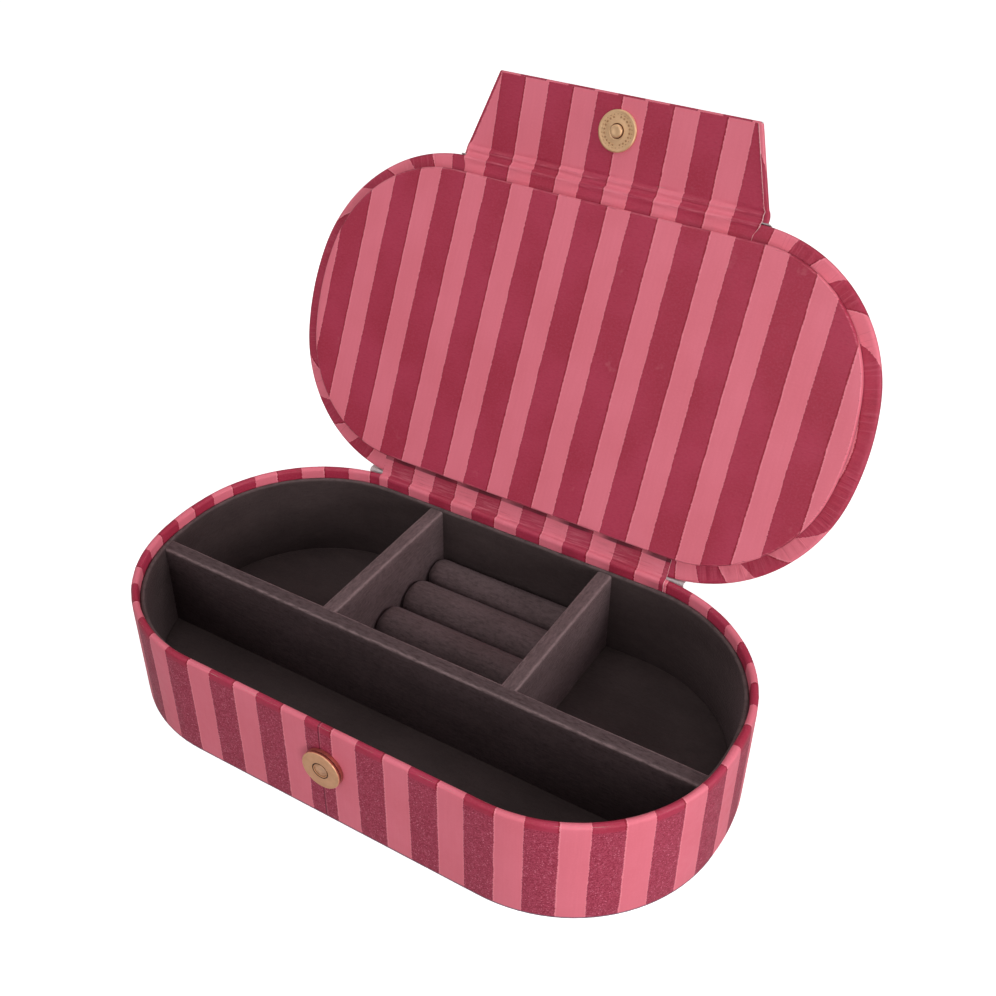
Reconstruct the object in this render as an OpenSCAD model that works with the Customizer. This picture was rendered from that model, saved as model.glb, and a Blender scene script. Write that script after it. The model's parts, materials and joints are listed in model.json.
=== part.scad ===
// Oval jewellery box: open tray with dividers and ring rolls, hinged padded lid, front flap with a magnetic snap.
// The base stands on Z = 0, centred on the origin. +X runs along the length and +Y towards the lid hinge.
// Lid and flap are drawn where they lie when the box is shut, then turned about their hinges to the open pose.

/* [Base] */
// Length of the base
base_l = 230; // [210:1:250]
// Depth of the base, front to back
base_w = 124; // [120:1:132]
// Height of the base to the top of its rim
base_h = 43; // [42:1:55]
// Radius of the base's round ends
corner_r = 57; // [52:1:59]
// Thickness of the covering sheet
skin = 0.4; // [0.3:0.1:0.6]
// Thickness of the wall board
wall_board = 1.8; // [1.5:0.1:2.5]
// Depth of covering turned down inside the rim
turn_down = 5.4; // [4:0.1:8]

/* [Tray] */
// Thickness of the velvet covered lining
liner_t = 2.0; // [1.5:0.1:3]
// Drop from the rim to the top edge of the lining
liner_drop = 4; // [3.6:0.1:6]
// Drop from the rim to the top of the dividers
divider_drop = 4.5; // [4:0.1:8]
// Thickness of the dividers
divider_t = 6; // [4:0.1:8]
// Distance of the long divider's middle in front of the centre
long_divider_y = -14.5; // [-20:0.5:-8]
// Place of the left cross divider's middle
left_divider_x = -36; // [-45:0.5:-30]
// Place of the right cross divider's middle
right_divider_x = 38.5; // [30:0.5:45]
// Spacing of the ring rolls
roll_pitch = 18.2; // [17.5:0.1:18.6]
// Height of the ring rolls above their tray
roll_h = 15; // [12:0.5:18]

/* [Lid] */
// Length of the lid
lid_l = 231; // [211:1:251]
// Depth of the lid
lid_w = 128; // [124:1:136]
// Thickness of the lid board
lid_board_t = 2; // [1.5:0.1:3]
// Thickness of the foam on top of the lid board
lid_foam_t = 1.8; // [1:0.1:4]
// Clear height between the rim and the shut lid
lid_gap = 0.8; // [0.7:0.1:1.2]
// Angle that the lid is open by at rest
lid_angle = 115.5; // [90:0.5:125]
// Length of the raised panel inside the lid
panel_l = 218.6; // [200:0.1:219]
// Depth of the raised panel
panel_w = 114.4; // [100:0.1:115]
// Corner radius of the raised panel
panel_r = 48.5; // [48:0.1:50]
// Height that the panel stands out of the lid
panel_h = 3.1; // [2:0.1:3.2]

/* [Flap] */
// Length of the flap from its hinge to its free edge
flap_l = 31.2; // [28:0.1:36]
// Width of the flap at its hinge
flap_w_root = 122; // [90:1:124]
// Width of the flap at its free edge
flap_w_tip = 102; // [70:1:110]
// Thickness of the flap board
flap_board_t = 1.6; // [1:0.1:2]
// Angle that the flap turns through from rest to shut
flap_swing = 80.7; // [60:0.1:100]

/* [Snap] */
// Radius of the snap's two halves
snap_r = 7.4; // [6:0.1:9]
// Height that the base half stands out of the wall
snap_h = 2.7; // [2:0.1:2.8]
// Thickness of the flap half's disc
snap_disc_t = 1.1; // [0.8:0.1:1.1]
// Distance of the snap's centre below the flap hinge
snap_drop = 18.8; // [16:0.1:22]

/* [Hidden] */
$fn = 96;

// Cut-through length for holes, and the slack round a piece that drops into another
eps = 0.5;
slack = 0.05;

// Heights in the base, from the table up
sheet_t = 0.5;
floor_z = 2.5;
pad_z = 4;
tray_z = 5;
divider_z = base_h - divider_drop;
liner_z = base_h - liner_drop;

// Distances in from the base's outline
wall_in = skin + wall_board;
rim_in = wall_in + skin;
liner_in = rim_in + liner_t;

// Faces of the dividers and of the lining that the ring tray fits between
long_back_y = long_divider_y + divider_t / 2;
cell_x0 = left_divider_x + divider_t / 2;
cell_x1 = right_divider_x - divider_t / 2;
cell_y1 = base_w / 2 - liner_in;
roll_gap = 0.2;
roll_r = roll_pitch / 2 - roll_gap / 2;

// Hinge strips, and the half lengths of the inner and outer one
strip_t = 0.25;
inner_strip_half = 62;
outer_strip_half = 68;
strip_reach = 13;

// Lid, as it lies shut
lid_z = base_h + lid_gap;
lid_top = lid_z + 2 * skin + lid_board_t + lid_foam_t;
lid_corner = corner_r;
lid_turn_in = 12;
lid_back = lid_w / 2;
panel_y = -0.8;
panel_board_t = 1.5;

// Axis of the lid hinge, along X
hinge_y = base_w / 2 + 0.8;
hinge_z = base_h + 1.35;

// Axis of the flap hinge, along X, with the flap shut
flap_y = -lid_w / 2 - 1.1;
flap_z = lid_z + 0.6;
flap_face = 0.95;
flap_gap = 3.2;
flap_taper = (flap_w_root - flap_w_tip) / 2 / flap_l;
flap_in_y = flap_y - flap_face;
flap_strip_half = 59;

// Snap, as it meets when shut
snap_z = flap_z - snap_drop;
stud_r = 2.3;
stud_h = 1.1;
hole_r = 2.8;
case_t = 0.4;
prong_x = 3.4;
prong_w = 2.4;
prong_t = 0.5;
washer_r = 6.5;
washer_t = 0.5;

// Colours
pink = [0.84, 0.41, 0.49];
raspberry = [0.62, 0.19, 0.30];
velvet = [0.22, 0.18, 0.18];
board_grey = [0.62, 0.58, 0.53];
foam_white = [0.90, 0.89, 0.85];
brass = [0.85, 0.62, 0.38];
steel = [0.70, 0.71, 0.73];
backing = [0.46, 0.40, 0.45];

// Rectangle with round corners, centred
module plan(l, w, r) {
    square([l - 2 * r, w], center = true);
    square([l, w - 2 * r], center = true);
    for (sx = [-1, 1], sy = [-1, 1])
        translate([sx * (l / 2 - r), sy * (w / 2 - r)]) circle(r);
}

// Outlines a given distance in from the base, the lid and the panel
module base_plan(inset) plan(base_l - 2 * inset, base_w - 2 * inset, corner_r - inset);
module lid_plan(inset) plan(lid_l - 2 * inset, lid_w - 2 * inset, lid_corner - inset);
module panel_plan(inset) translate([0, panel_y])
    plan(panel_l - 2 * inset, panel_w - 2 * inset, panel_r - inset);

// Straight sided solid between two heights
module between(z0, z1) translate([0, 0, z0]) linear_extrude(z1 - z0) children();

// Band between two outlines of the base
module base_band(outer, inner, z0, z1) between(z0, z1) difference() {
    base_plan(outer);
    base_plan(inner);
}

// Box from its lowest to its highest corner
module block(low, high) translate(low) cube(high - low);

// Disc or rod along Y, around the snap's axis
module snap_rod(r, y0, y1) translate([0, y1, snap_z]) rotate([90, 0, 0]) cylinder(r = r, h = y1 - y0);

// The two slots that the snap's prongs pass through
module prong_slots(y0, y1) for (s = [-1, 1])
    block([s * prong_x - prong_t / 2, y0, snap_z - prong_w / 2],
          [s * prong_x + prong_t / 2, y1, snap_z + prong_w / 2]);

// Two prongs through a board, bent outwards over the washer behind it
module prongs(y_root, y_bend, side) for (s = [-1, 1]) {
    block([s * prong_x - prong_t / 2, min(y_root, y_bend), snap_z - prong_w / 2],
          [s * prong_x + prong_t / 2, max(y_root, y_bend), snap_z + prong_w / 2]);
    block([s * (prong_x + 1.2) - 1.5, min(y_bend, y_bend + side * prong_t), snap_z - prong_w / 2],
          [s * (prong_x + 1.2) + 1.5, max(y_bend, y_bend + side * prong_t), snap_z + prong_w / 2]);
}

// Moves a lid piece from shut to open
module opened() translate([0, hinge_y, hinge_z]) rotate([-lid_angle, 0, 0])
    translate([0, -hinge_y, -hinge_z]) children();

// Moves a flap piece from shut to the open pose
module flap_opened() opened() translate([0, flap_y, flap_z]) rotate([-flap_swing, 0, 0])
    translate([0, -flap_y, -flap_z]) children();

// Tapered sheet of the flap between two distances from its hinge, hanging as when shut
module flap_sheet(from, to, inset, y0, y1)
    translate([0, y1, flap_z]) rotate([90, 0, 0]) linear_extrude(y1 - y0)
        polygon([[-flap_half(from) + inset, -from], [flap_half(from) - inset, -from],
                 [flap_half(to) - inset, -to], [-flap_half(to) + inset, -to]]);
function flap_half(distance) = flap_w_root / 2 - flap_taper * distance;

module bottom_sheet() color(backing) between(0, sheet_t) base_plan(0);

module base_floor() color(board_grey) between(sheet_t, floor_z) base_plan(wall_in);

module base_wall() color(board_grey) difference() {
    base_band(skin, wall_in, sheet_t, base_h - skin);
    prong_slots(-base_w / 2 - eps, -base_w / 2 + wall_in + eps);
}

// Covering: up the outside, over the rim and down inside it
module base_cover() color(pink) difference() {
    union() {
        base_band(0, skin, sheet_t, base_h);
        base_band(0, rim_in, base_h - skin, base_h);
        base_band(wall_in, rim_in, base_h - turn_down, base_h);
    }
    prong_slots(-base_w / 2 - eps, -base_w / 2 + skin + eps);
}

// Velvet covered band, thicker below the turned down covering, with a pocket for the snap's washer
module liner_wall() color(velvet) difference() {
    union() {
        base_band(rim_in, liner_in, floor_z, liner_z);
        base_band(wall_in, liner_in, floor_z, base_h - turn_down);
    }
    snap_rod(washer_r + 0.5, -base_w / 2 + wall_in - eps, -base_w / 2 + wall_in + washer_t + prong_t + 0.1);
}

module floor_pad() color(velvet) between(floor_z, pad_z) base_plan(liner_in);

module long_divider() color(velvet) intersection() {
    between(pad_z, divider_z) base_plan(liner_in + slack);
    block([-base_l / 2, long_divider_y - divider_t / 2, 0], [base_l / 2, long_back_y, base_h]);
}

module cross_divider(x) color(velvet)
    block([x - divider_t / 2, long_back_y, pad_z], [x + divider_t / 2, cell_y1, divider_z]);
module left_divider() cross_divider(left_divider_x);
module right_divider() cross_divider(right_divider_x);

module ring_tray() color(velvet)
    block([cell_x0, long_back_y, pad_z], [cell_x1, cell_y1, tray_z]);

// Half round roll along X. The rearmost one is pressed flat against the lining.
module ring_roll(number) color(velvet) intersection() {
    translate([cell_x0 + roll_gap, long_back_y + roll_pitch * (number - 0.5), tray_z])
        rotate([90, 0, 90]) linear_extrude(cell_x1 - cell_x0 - 2 * roll_gap) {
            translate([-roll_r, 0]) square([2 * roll_r, roll_h - roll_r]);
            translate([0, roll_h - roll_r]) circle(roll_r);
        }
    block([cell_x0, long_back_y, tray_z], [cell_x1, cell_y1, base_h]);
}

// Rear part of a band, out to a given half length
module rear_part(half) intersection() {
    children();
    block([-half, 0, 0], [half, base_w, base_h + lid_w]);
}

// Inner hinge strip: inside the rear wall above the lining, and over the rim
module inner_strip_base() color(pink) rear_part(inner_strip_half) {
    base_band(rim_in, rim_in + strip_t, liner_z, base_h + strip_t);
    base_band(skin, rim_in + strip_t, base_h, base_h + strip_t);
}

module inner_strip_lid() color(pink) opened()
    block([-inner_strip_half, lid_back - strip_reach, lid_z - strip_t],
          [inner_strip_half, lid_back - 0.4, lid_z]);

// Outer hinge strip: glued to the back of the wall, and up the rear edge of the lid
module outer_strip_base() color(raspberry) rear_part(outer_strip_half)
    base_band(-strip_t, 0, base_h - 20, base_h - 0.6);
module outer_strip_lid() color(raspberry) opened() rear_part(outer_strip_half)
    between(lid_z + 1, lid_top - 0.4) difference() {
        lid_plan(-strip_t);
        lid_plan(0);
    }

module base_snap_case() color(brass) difference() {
    snap_rod(snap_r, -base_w / 2 - snap_h, -base_w / 2);
    snap_rod(snap_r - case_t, -base_w / 2 - snap_h + case_t, -base_w / 2 + eps);
    snap_rod(hole_r, -base_w / 2 - snap_h - eps, -base_w / 2);
}
module base_snap_magnet() color(steel) difference() {
    snap_rod(snap_r - case_t - 0.2, -base_w / 2 - snap_h + case_t, -base_w / 2 - prong_t);
    snap_rod(hole_r + 0.2, -base_w / 2 - snap_h, -base_w / 2);
}
module base_snap_prongs() color(steel) {
    snap_rod(snap_r - case_t - 0.1, -base_w / 2 - prong_t, -base_w / 2);
    prongs(-base_w / 2, -base_w / 2 + wall_in + washer_t, 1);
}
module base_snap_washer() color(steel) difference() {
    snap_rod(washer_r, -base_w / 2 + wall_in, -base_w / 2 + wall_in + washer_t);
    prong_slots(-base_w / 2, 0);
}

module lid_board() color(board_grey) opened() between(lid_z + skin, lid_z + skin + lid_board_t) lid_plan(skin);
module lid_foam() color(foam_white) opened() between(lid_z + skin + lid_board_t, lid_top - skin) lid_plan(skin);

// Covering of the lid: over the top, round the edge and turned in underneath
module lid_cover() color(pink) opened() {
    between(lid_top - skin, lid_top) lid_plan(0);
    between(lid_z, lid_top) difference() {
        lid_plan(0);
        lid_plan(skin);
    }
    between(lid_z, lid_z + skin) difference() {
        lid_plan(0);
        lid_plan(lid_turn_in);
    }
}

// Raised panel: board, thin foam and a covering wrapped round both
module panel_board() color(board_grey) opened() difference() {
    between(lid_z - panel_board_t, lid_z) panel_plan(skin + slack);
    for (y = [-lid_back, lid_back])
        block([-base_l / 2, y - strip_reach - 0.1, lid_z - strip_t], [base_l / 2, y + strip_reach + 0.1, lid_z + eps]);
}
module panel_foam() color(foam_white) opened() between(lid_z - panel_h + skin, lid_z - panel_board_t)
    panel_plan(skin + slack);
module panel_cover() color(pink) opened() {
    between(lid_z - panel_h, lid_z - panel_h + skin) panel_plan(0);
    between(lid_z - panel_h, lid_z - strip_t) difference() {
        panel_plan(0);
        panel_plan(skin);
    }
}

// Lid end of the flap's lining, glued under the panel
module flap_strip_lid() color(pink) opened()
    block([-flap_strip_half, -lid_back + 0.4, lid_z - strip_t],
          [flap_strip_half, -lid_back + strip_reach, lid_z]);

module flap_board() color(board_grey) flap_opened() difference() {
    flap_sheet(flap_gap, flap_l - skin, skin, flap_in_y - strip_t - flap_board_t, flap_in_y - strip_t);
    prong_slots(flap_in_y - flap_board_t - 1, flap_in_y + eps);
    snap_rod(washer_r + 0.3, flap_in_y - strip_t - flap_board_t - eps, flap_in_y - flap_board_t + washer_t + prong_t);
}
module flap_lining() color(pink) flap_opened() difference() {
    flap_sheet(0.6, flap_l, 0, flap_in_y - strip_t, flap_in_y);
    prong_slots(flap_in_y - 1, flap_in_y + eps);
}

// Outer covering of the flap, turned round its free edge and its sides
module flap_cover() color(raspberry) flap_opened() difference() {
    flap_sheet(1.2, flap_l, 0, flap_in_y - strip_t - flap_board_t - skin, flap_in_y - strip_t);
    flap_sheet(0, flap_l - skin, skin, flap_in_y - strip_t - flap_board_t, flap_in_y);
}

// Flap half of the snap: disc with a centre stud, two prongs and a washer
module flap_snap_disc() color(brass) flap_opened() {
    snap_rod(snap_r, flap_in_y, flap_in_y + snap_disc_t);
    snap_rod(stud_r, flap_in_y, flap_in_y + snap_disc_t + stud_h);
}
module flap_snap_prongs() color(steel) flap_opened()
    prongs(flap_in_y, flap_in_y - flap_board_t + prong_t, -1);
module flap_snap_washer() color(steel) flap_opened() difference() {
    snap_rod(washer_r, flap_in_y - flap_board_t + prong_t, flap_in_y - flap_board_t + prong_t + washer_t);
    prong_slots(flap_in_y - flap_board_t - 1, flap_in_y);
}

bottom_sheet();
base_floor();
base_wall();
base_cover();
liner_wall();
floor_pad();
long_divider();
left_divider();
right_divider();
ring_tray();
ring_roll(1);  // ring_roll_1
ring_roll(2);  // ring_roll_2
ring_roll(3);  // ring_roll_3
ring_roll(4);  // ring_roll_4
inner_strip_base();
outer_strip_base();
base_snap_case();
base_snap_magnet();
base_snap_prongs();
base_snap_washer();
lid_board();
lid_foam();
lid_cover();
panel_board();
panel_foam();
panel_cover();
inner_strip_lid();
outer_strip_lid();
flap_strip_lid();
flap_board();
flap_cover();
flap_lining();
flap_snap_disc();
flap_snap_prongs();
flap_snap_washer();
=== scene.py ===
"""Oval jewellery box with its lid open: striped covering, velvet tray, ring rolls, flap and magnetic snap."""

import json
import math

import bmesh
import bpy
import numpy as np
from mathutils import Matrix, Vector, noise


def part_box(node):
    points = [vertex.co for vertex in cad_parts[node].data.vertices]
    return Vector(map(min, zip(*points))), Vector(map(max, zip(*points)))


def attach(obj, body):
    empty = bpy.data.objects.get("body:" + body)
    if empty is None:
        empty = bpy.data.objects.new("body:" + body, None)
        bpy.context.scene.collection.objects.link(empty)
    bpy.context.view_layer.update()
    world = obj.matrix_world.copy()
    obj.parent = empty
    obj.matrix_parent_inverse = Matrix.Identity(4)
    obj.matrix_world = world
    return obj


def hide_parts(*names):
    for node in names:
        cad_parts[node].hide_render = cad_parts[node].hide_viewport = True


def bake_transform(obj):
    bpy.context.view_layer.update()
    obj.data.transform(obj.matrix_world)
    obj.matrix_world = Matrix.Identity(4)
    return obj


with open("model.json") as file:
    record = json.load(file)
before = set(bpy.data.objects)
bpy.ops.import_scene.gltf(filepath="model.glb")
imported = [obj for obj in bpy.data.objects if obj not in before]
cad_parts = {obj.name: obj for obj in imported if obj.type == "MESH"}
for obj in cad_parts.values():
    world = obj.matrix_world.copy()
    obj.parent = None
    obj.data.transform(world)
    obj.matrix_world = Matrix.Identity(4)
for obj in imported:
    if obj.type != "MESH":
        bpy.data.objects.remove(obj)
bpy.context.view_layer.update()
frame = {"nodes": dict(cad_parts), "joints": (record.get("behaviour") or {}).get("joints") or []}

MM = 0.001


# ------------------------------------------------------------------ sizes in millimetres, most from the frame
def low_high(node):
    """Lowest and highest corner of a CAD node, in millimetres."""
    low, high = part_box(node)
    return np.array(low) / MM, np.array(high) / MM


BASE_LOW, BASE_HIGH = low_high("base_cover")
BASE_L = BASE_HIGH[0] - BASE_LOW[0]
BASE_W = BASE_HIGH[1] - BASE_LOW[1]
BASE_H = BASE_HIGH[2]
CORNER_R = 57.0  # corners of the base's and the lid's outline
RIM_R = 1.3  # half the thickness of the base's rim
RIM_Z = BASE_H - RIM_R
FLOOR_Z = low_high("floor_pad")[0][2]
PAD_Z = low_high("floor_pad")[1][2]
LINER_Z = low_high("liner_wall")[1][2]
LINER_IN = 4.6  # from the base's outline to the velvet inside
LINER_BACK = 3.3  # and to the lining's hidden side
LINER_R = 0.98  # rounding of its top
DIVIDER_LOW, DIVIDER_HIGH = low_high("long_divider")
LEFT_LOW, LEFT_HIGH = low_high("left_divider")
RIGHT_LOW, RIGHT_HIGH = low_high("right_divider")

# The lid's heights are those it has when it's shut, with its inner face down
LID_L = low_high("lid_cover")[1][0] * 2
LID_W = 128.0
LID_Z = 43.8  # inner face
LID_TOP = 48.4
LID_TOP_R = 2.3  # rounding of the upper edge
LID_LOW_R = 1.3  # and of the lower one
LID_EDGE_Z = 45.8  # where the rounding of the upper edge starts
TURN_IN = 12.0  # how far the lid's covering is turned in
PANEL_L = low_high("panel_cover")[1][0] * 2
PANEL_W = 114.4
PANEL_R = 48.5
PANEL_Y = -0.8  # the panel's middle
PANEL_H = 3.1  # how far it stands out of the lid's inner face

FLAP_L = 31.2  # from its hinge to its free edge
FLAP_ROOT = low_high("flap_board")[1][0] + 1.4  # half its width at the hinge
FLAP_TAPER = 10.0 / FLAP_L  # what each half loses per millimetre
FLAP_IN = 0.95  # from its hinge out to its inner face
FLAP_OUT = 3.2  # and to its outer face
SNAP_Z = 25.6  # height of the snap's axis when the box is shut
SNAP_R = low_high("base_snap_case")[1][0]

SHEET_T = 0.36  # coverings
STRIP_T = 0.25  # gap that the hinge strips take up
INNER_T = 0.24  # inner hinge strip
OUTER_T = 0.22  # outer hinge strip
FLAP_LINING_T = 0.2
FLAP_COVER_T = 0.3
SEAM_S = -1.5  # the base covering's seam, from the middle of the front


# ------------------------------------------------------------------ the two hinges
def turned(points, pivot, degrees):
    """Points turned about an axis along X through pivot, which is (y, z)."""
    c, s = math.cos(math.radians(degrees)), math.sin(math.radians(degrees))
    out = np.array(points, float)
    y, z = out[..., 1] - pivot[0], out[..., 2] - pivot[1]
    out[..., 1] = pivot[0] + y * c - z * s
    out[..., 2] = pivot[1] + y * s + z * c
    return out


JOINTS = {j["name"]: j for j in frame["joints"]}
LID_ANGLE = JOINTS["lid_hinge"]["range_deg"][1]
FLAP_ANGLE = JOINTS["flap_hinge"]["range_deg"][1]
LID_AXIS = tuple(v / MM for v in JOINTS["lid_hinge"]["pos_m"][1:])
FLAP_AXIS = tuple(turned(np.array(JOINTS["flap_hinge"]["pos_m"]) / MM, LID_AXIS, LID_ANGLE)[1:])


def opened(points):
    """From where a piece of the lid lies when the box is shut to where it is at rest."""
    return turned(points, LID_AXIS, -LID_ANGLE)


def flap_opened(points):
    """The same for a piece of the flap."""
    return opened(turned(points, FLAP_AXIS, -FLAP_ANGLE))


# ------------------------------------------------------------------ mesh building
class Shape:
    """Grids of points gathered into one mesh, with the cloth's own coordinates at every face corner."""

    def __init__(self):
        self.points, self.faces, self.cloth, self.slots = [], [], [], []
        self.count = 0

    def add(self, points, cloth, wrap_rows=False, wrap_cols=False, turn=0.0, flip=False, slot=0):
        """Adds a grid. turn is how far the cloth goes on where its columns wrap round."""
        rows, cols = points.shape[:2]
        r, c = np.meshgrid(
            np.arange(rows if wrap_rows else rows - 1),
            np.arange(cols if wrap_cols else cols - 1),
            indexing="ij",
        )
        r, c = r.ravel(), c.ravel()
        order = [(0, 0), (0, 1), (1, 1), (1, 0)]
        if flip:
            order = order[::-1]
        corner_r = np.stack([(r + a) % rows for a, _ in order], 1)
        corner_c = np.stack([(c + b) % cols for _, b in order], 1)
        wrapped = np.stack([c + b >= cols for _, b in order], 1)
        values = cloth[corner_r, corner_c].copy()
        values[..., 0] += wrapped * turn
        self.faces.append(corner_r * cols + corner_c + self.count)
        self.cloth.append(values.reshape(-1, 3))
        self.points.append(points.reshape(-1, 3))
        self.slots.append(np.full(len(r), slot))
        self.count += rows * cols
        return self

    def cap(self, ring, flip=False):
        """A closed loop of an even number of points (already added) filled by joining its two halves."""
        half = len(ring) // 2
        quads = [(ring[i], ring[i + 1], ring[-i - 2], ring[-i - 1]) for i in range(half - 1)]
        if flip:
            quads = [q[::-1] for q in quads]
        self.faces.append(np.array(quads))
        every = np.concatenate(self.points)
        self.cloth.append(every[np.array(quads)].reshape(-1, 3) * (1, 1, 0))
        self.slots.append(np.zeros(len(quads)))

    def build(self, name, merge=True, closed=True, sharp=40):
        """Makes the object. A closed shape gets its normals turned out."""
        mesh = bpy.data.meshes.new(name)
        mesh.from_pydata(
            (np.concatenate(self.points) * MM).tolist(), [], np.concatenate(self.faces).tolist()
        )
        cloth = mesh.attributes.new("cloth", "FLOAT_VECTOR", "CORNER")
        cloth.data.foreach_set("vector", np.concatenate(self.cloth).astype(np.float32).ravel())
        mesh.polygons.foreach_set("material_index", np.concatenate(self.slots).astype(np.int32))
        work = bmesh.new()
        work.from_mesh(mesh)
        if merge:
            bmesh.ops.remove_doubles(work, verts=work.verts, dist=0.004 * MM)
            bmesh.ops.dissolve_degenerate(work, edges=work.edges, dist=0.0005 * MM)
        if closed:
            bmesh.ops.recalc_face_normals(work, faces=work.faces)
        work.to_mesh(mesh)
        work.free()
        obj = bpy.data.objects.new(name, mesh)
        bpy.context.scene.collection.objects.link(obj)
        smooth(obj, sharp)
        return obj


def smooth(obj, sharp=40):
    """Smooth shading, with edges sharper than an angle kept sharp."""
    obj.data.polygons.foreach_set("use_smooth", [True] * len(obj.data.polygons))
    obj.data.set_sharp_from_angle(angle=math.radians(sharp))


def applied(obj):
    """Replaces a piece's mesh by what its modifiers make of it."""
    bpy.context.view_layer.update()
    made = bpy.data.meshes.new_from_object(obj.evaluated_get(bpy.context.evaluated_depsgraph_get()))
    made.name = obj.name
    obj.modifiers.clear()
    obj.data = made


def thickened(obj, thickness, back=0, rim=0):
    """Gives a surface its thickness, behind the side that shows. back and rim are material slots to add."""
    solid = obj.modifiers.new("thickness", "SOLIDIFY")
    solid.thickness = thickness * MM
    solid.offset = -1
    solid.material_offset = back
    solid.material_offset_rim = rim
    applied(obj)
    smooth(obj)


def painted(obj, materials):
    """Gives a piece its materials, in the order of its faces' slots."""
    for paint in materials:
        obj.data.materials.append(paint)


def finish(obj, body, materials, replaces):
    """Materials, body and the CAD nodes that a piece stands for."""
    painted(obj, materials)
    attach(obj, body)
    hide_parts(*replaces)


def anchor(line):
    return (0, line[0] * MM, line[1] * MM)


def pushed(points, amount, direction, axis=0):
    """Moves points along a direction that has two parts, the first of them on the given axis."""
    points[..., axis] += amount * direction[0]
    points[..., axis + 1] += amount * direction[1]


def wave(x, y, z=0.0):
    """Smooth noise from about -1 to 1 at a point."""
    return noise.noise(Vector((x, y, z)))


def waves(x, y, size, seed):
    """The same for arrays of points, with features of about a given size."""
    flat = [wave(a / size, b / size, seed) for a, b in zip(np.ravel(x), np.ravel(y))]
    return np.array(flat).reshape(np.shape(x))


def eased(value, low, high):
    """0 below low, 1 above high, and smooth between."""
    t = np.clip((np.asarray(value, float) - low) / (high - low), 0, 1)
    return t * t * (3 - 2 * t)


class Oval:
    """A rectangle with round corners and slightly bowed ends.

    It's kept as the centres of its arcs, the outward normals and the distances round it."""

    BOW = math.radians(10)

    def __init__(self, length, width, radius, step, arc_step, extra=()):
        """step and arc_step are the spacings of its points. extra gives more places along the front."""
        cx, cy = length / 2 - radius, width / 2 - radius
        self.radius, self.cx, self.cy = radius, cx, cy
        wide = cy / math.sin(self.BOW)
        corner = radius * (math.pi / 2 - self.BOW)
        end = (radius + wide) * 2 * self.BOW
        parts = [  # angles, length, and the arc's middle at its start and end, from the middle of the back
            (90, 90, cx, 0, -cx),
            (90, 170, corner, -cx, -cx),
            (170, 190, end, -cx, -cx),
            (190, 270, corner, -cx, -cx),
            (270, 270, 2 * cx, -cx, cx),
            (270, 350, corner, cx, cx),
            (350, 370, end, cx, cx),
            (370, 450, corner, cx, cx),
            (450, 450, cx, cx, 0),
        ]
        x, angle, way, gone = [], [], [], 0.0
        for index, (low, high, size, left, right) in enumerate(parts):
            count = max(2, round(size / (step if low == high else arc_step)))
            t = np.arange(count) / count
            if index == len(parts) // 2 and len(extra):
                t = np.unique(np.concatenate([t, (np.array(extra) + cx) / (2 * cx)]))
            a = np.radians(low + (high - low) * t)
            bowed = wide * np.maximum(np.abs(np.cos(a)) - math.cos(self.BOW), 0)
            x.append(left + (right - left) * t + np.sign(left + right) * bowed)
            angle.append(a)
            way.append(gone + t * size)
            gone += size
        angle = np.concatenate(angle)
        self.centre = np.stack([np.concatenate(x), np.clip(wide * np.sin(angle), -cy, cy)], 1)
        self.normal = np.stack([np.cos(angle), np.sin(angle)], 1)
        self.length = gone
        self.s = np.concatenate(way) - gone / 2

    def rows(self, profile, y=0.0, bow=None):
        """Points of a profile of (inset, height) swept round.

        Past the radius, an inset closes the oval to a line. bow is each row's share of the ends' bow."""
        out = []
        for row, (inset, height) in enumerate(profile):
            reach = max(self.radius - inset, 0.0)
            shrink = max(0.0, 1 - max(inset - self.radius, 0.0) / self.cy)
            xy = self.centre * (1, shrink) + reach * self.normal
            if bow is not None:
                beside = np.maximum(np.abs(xy[:, 1]) - self.cy, 0)
                plain = self.cx + np.sqrt(np.maximum(reach**2 - beside**2, 0))
                over = np.maximum(np.abs(xy[:, 0]) - plain, 0)
                xy[:, 0] -= np.sign(xy[:, 0]) * over * (1 - bow[row])
            out.append(np.column_stack([xy[:, 0], xy[:, 1] + y, np.full(len(xy), height)]))
        return np.array(out)

    def closing(self, start, height, step=4.0):
        """Profile rows from an inset in to the middle line, at a height or a function of the inset."""
        insets = list(np.arange(start, self.radius - 0.5, step)) + [self.radius]
        insets += [self.radius + self.cy * k for k in (0.35, 0.7, 1.0)]
        return [(i, height(i) if callable(height) else height) for i in insets]


def arc(centre, radius, low, high, steps):
    """Points of an arc, from one angle to another."""
    angles = np.radians(np.linspace(low, high, steps + 1))
    return [(centre[0] + radius * math.cos(a), centre[1] + radius * math.sin(a)) for a in angles]


def distances(profile):
    """How far along a profile each of its points is."""
    steps = np.linalg.norm(np.diff(np.array(profile, float), axis=0), axis=1)
    return np.concatenate([[0], np.cumsum(steps)])


def rounded(points, times=2):
    """A line of points with its corners cut, which keeps its two ends."""
    p = np.array(points, float)
    for _ in range(times):
        cut = np.empty((2 * len(p) - 2, p.shape[1]))
        cut[0::2] = 0.75 * p[:-1] + 0.25 * p[1:]
        cut[1::2] = 0.25 * p[:-1] + 0.75 * p[1:]
        p = np.vstack([p[:1], cut, p[-1:]])
    return p


# ------------------------------------------------------------------ materials
def srgb(r, g, b):
    """A colour given as 0 to 255 on screen, as the shader wants it."""
    linear = [((v / 255 + 0.055) / 1.055) ** 2.4 if v > 10 else v / 255 / 12.92 for v in (r, g, b)]
    return (*linear, 1.0)


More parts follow.
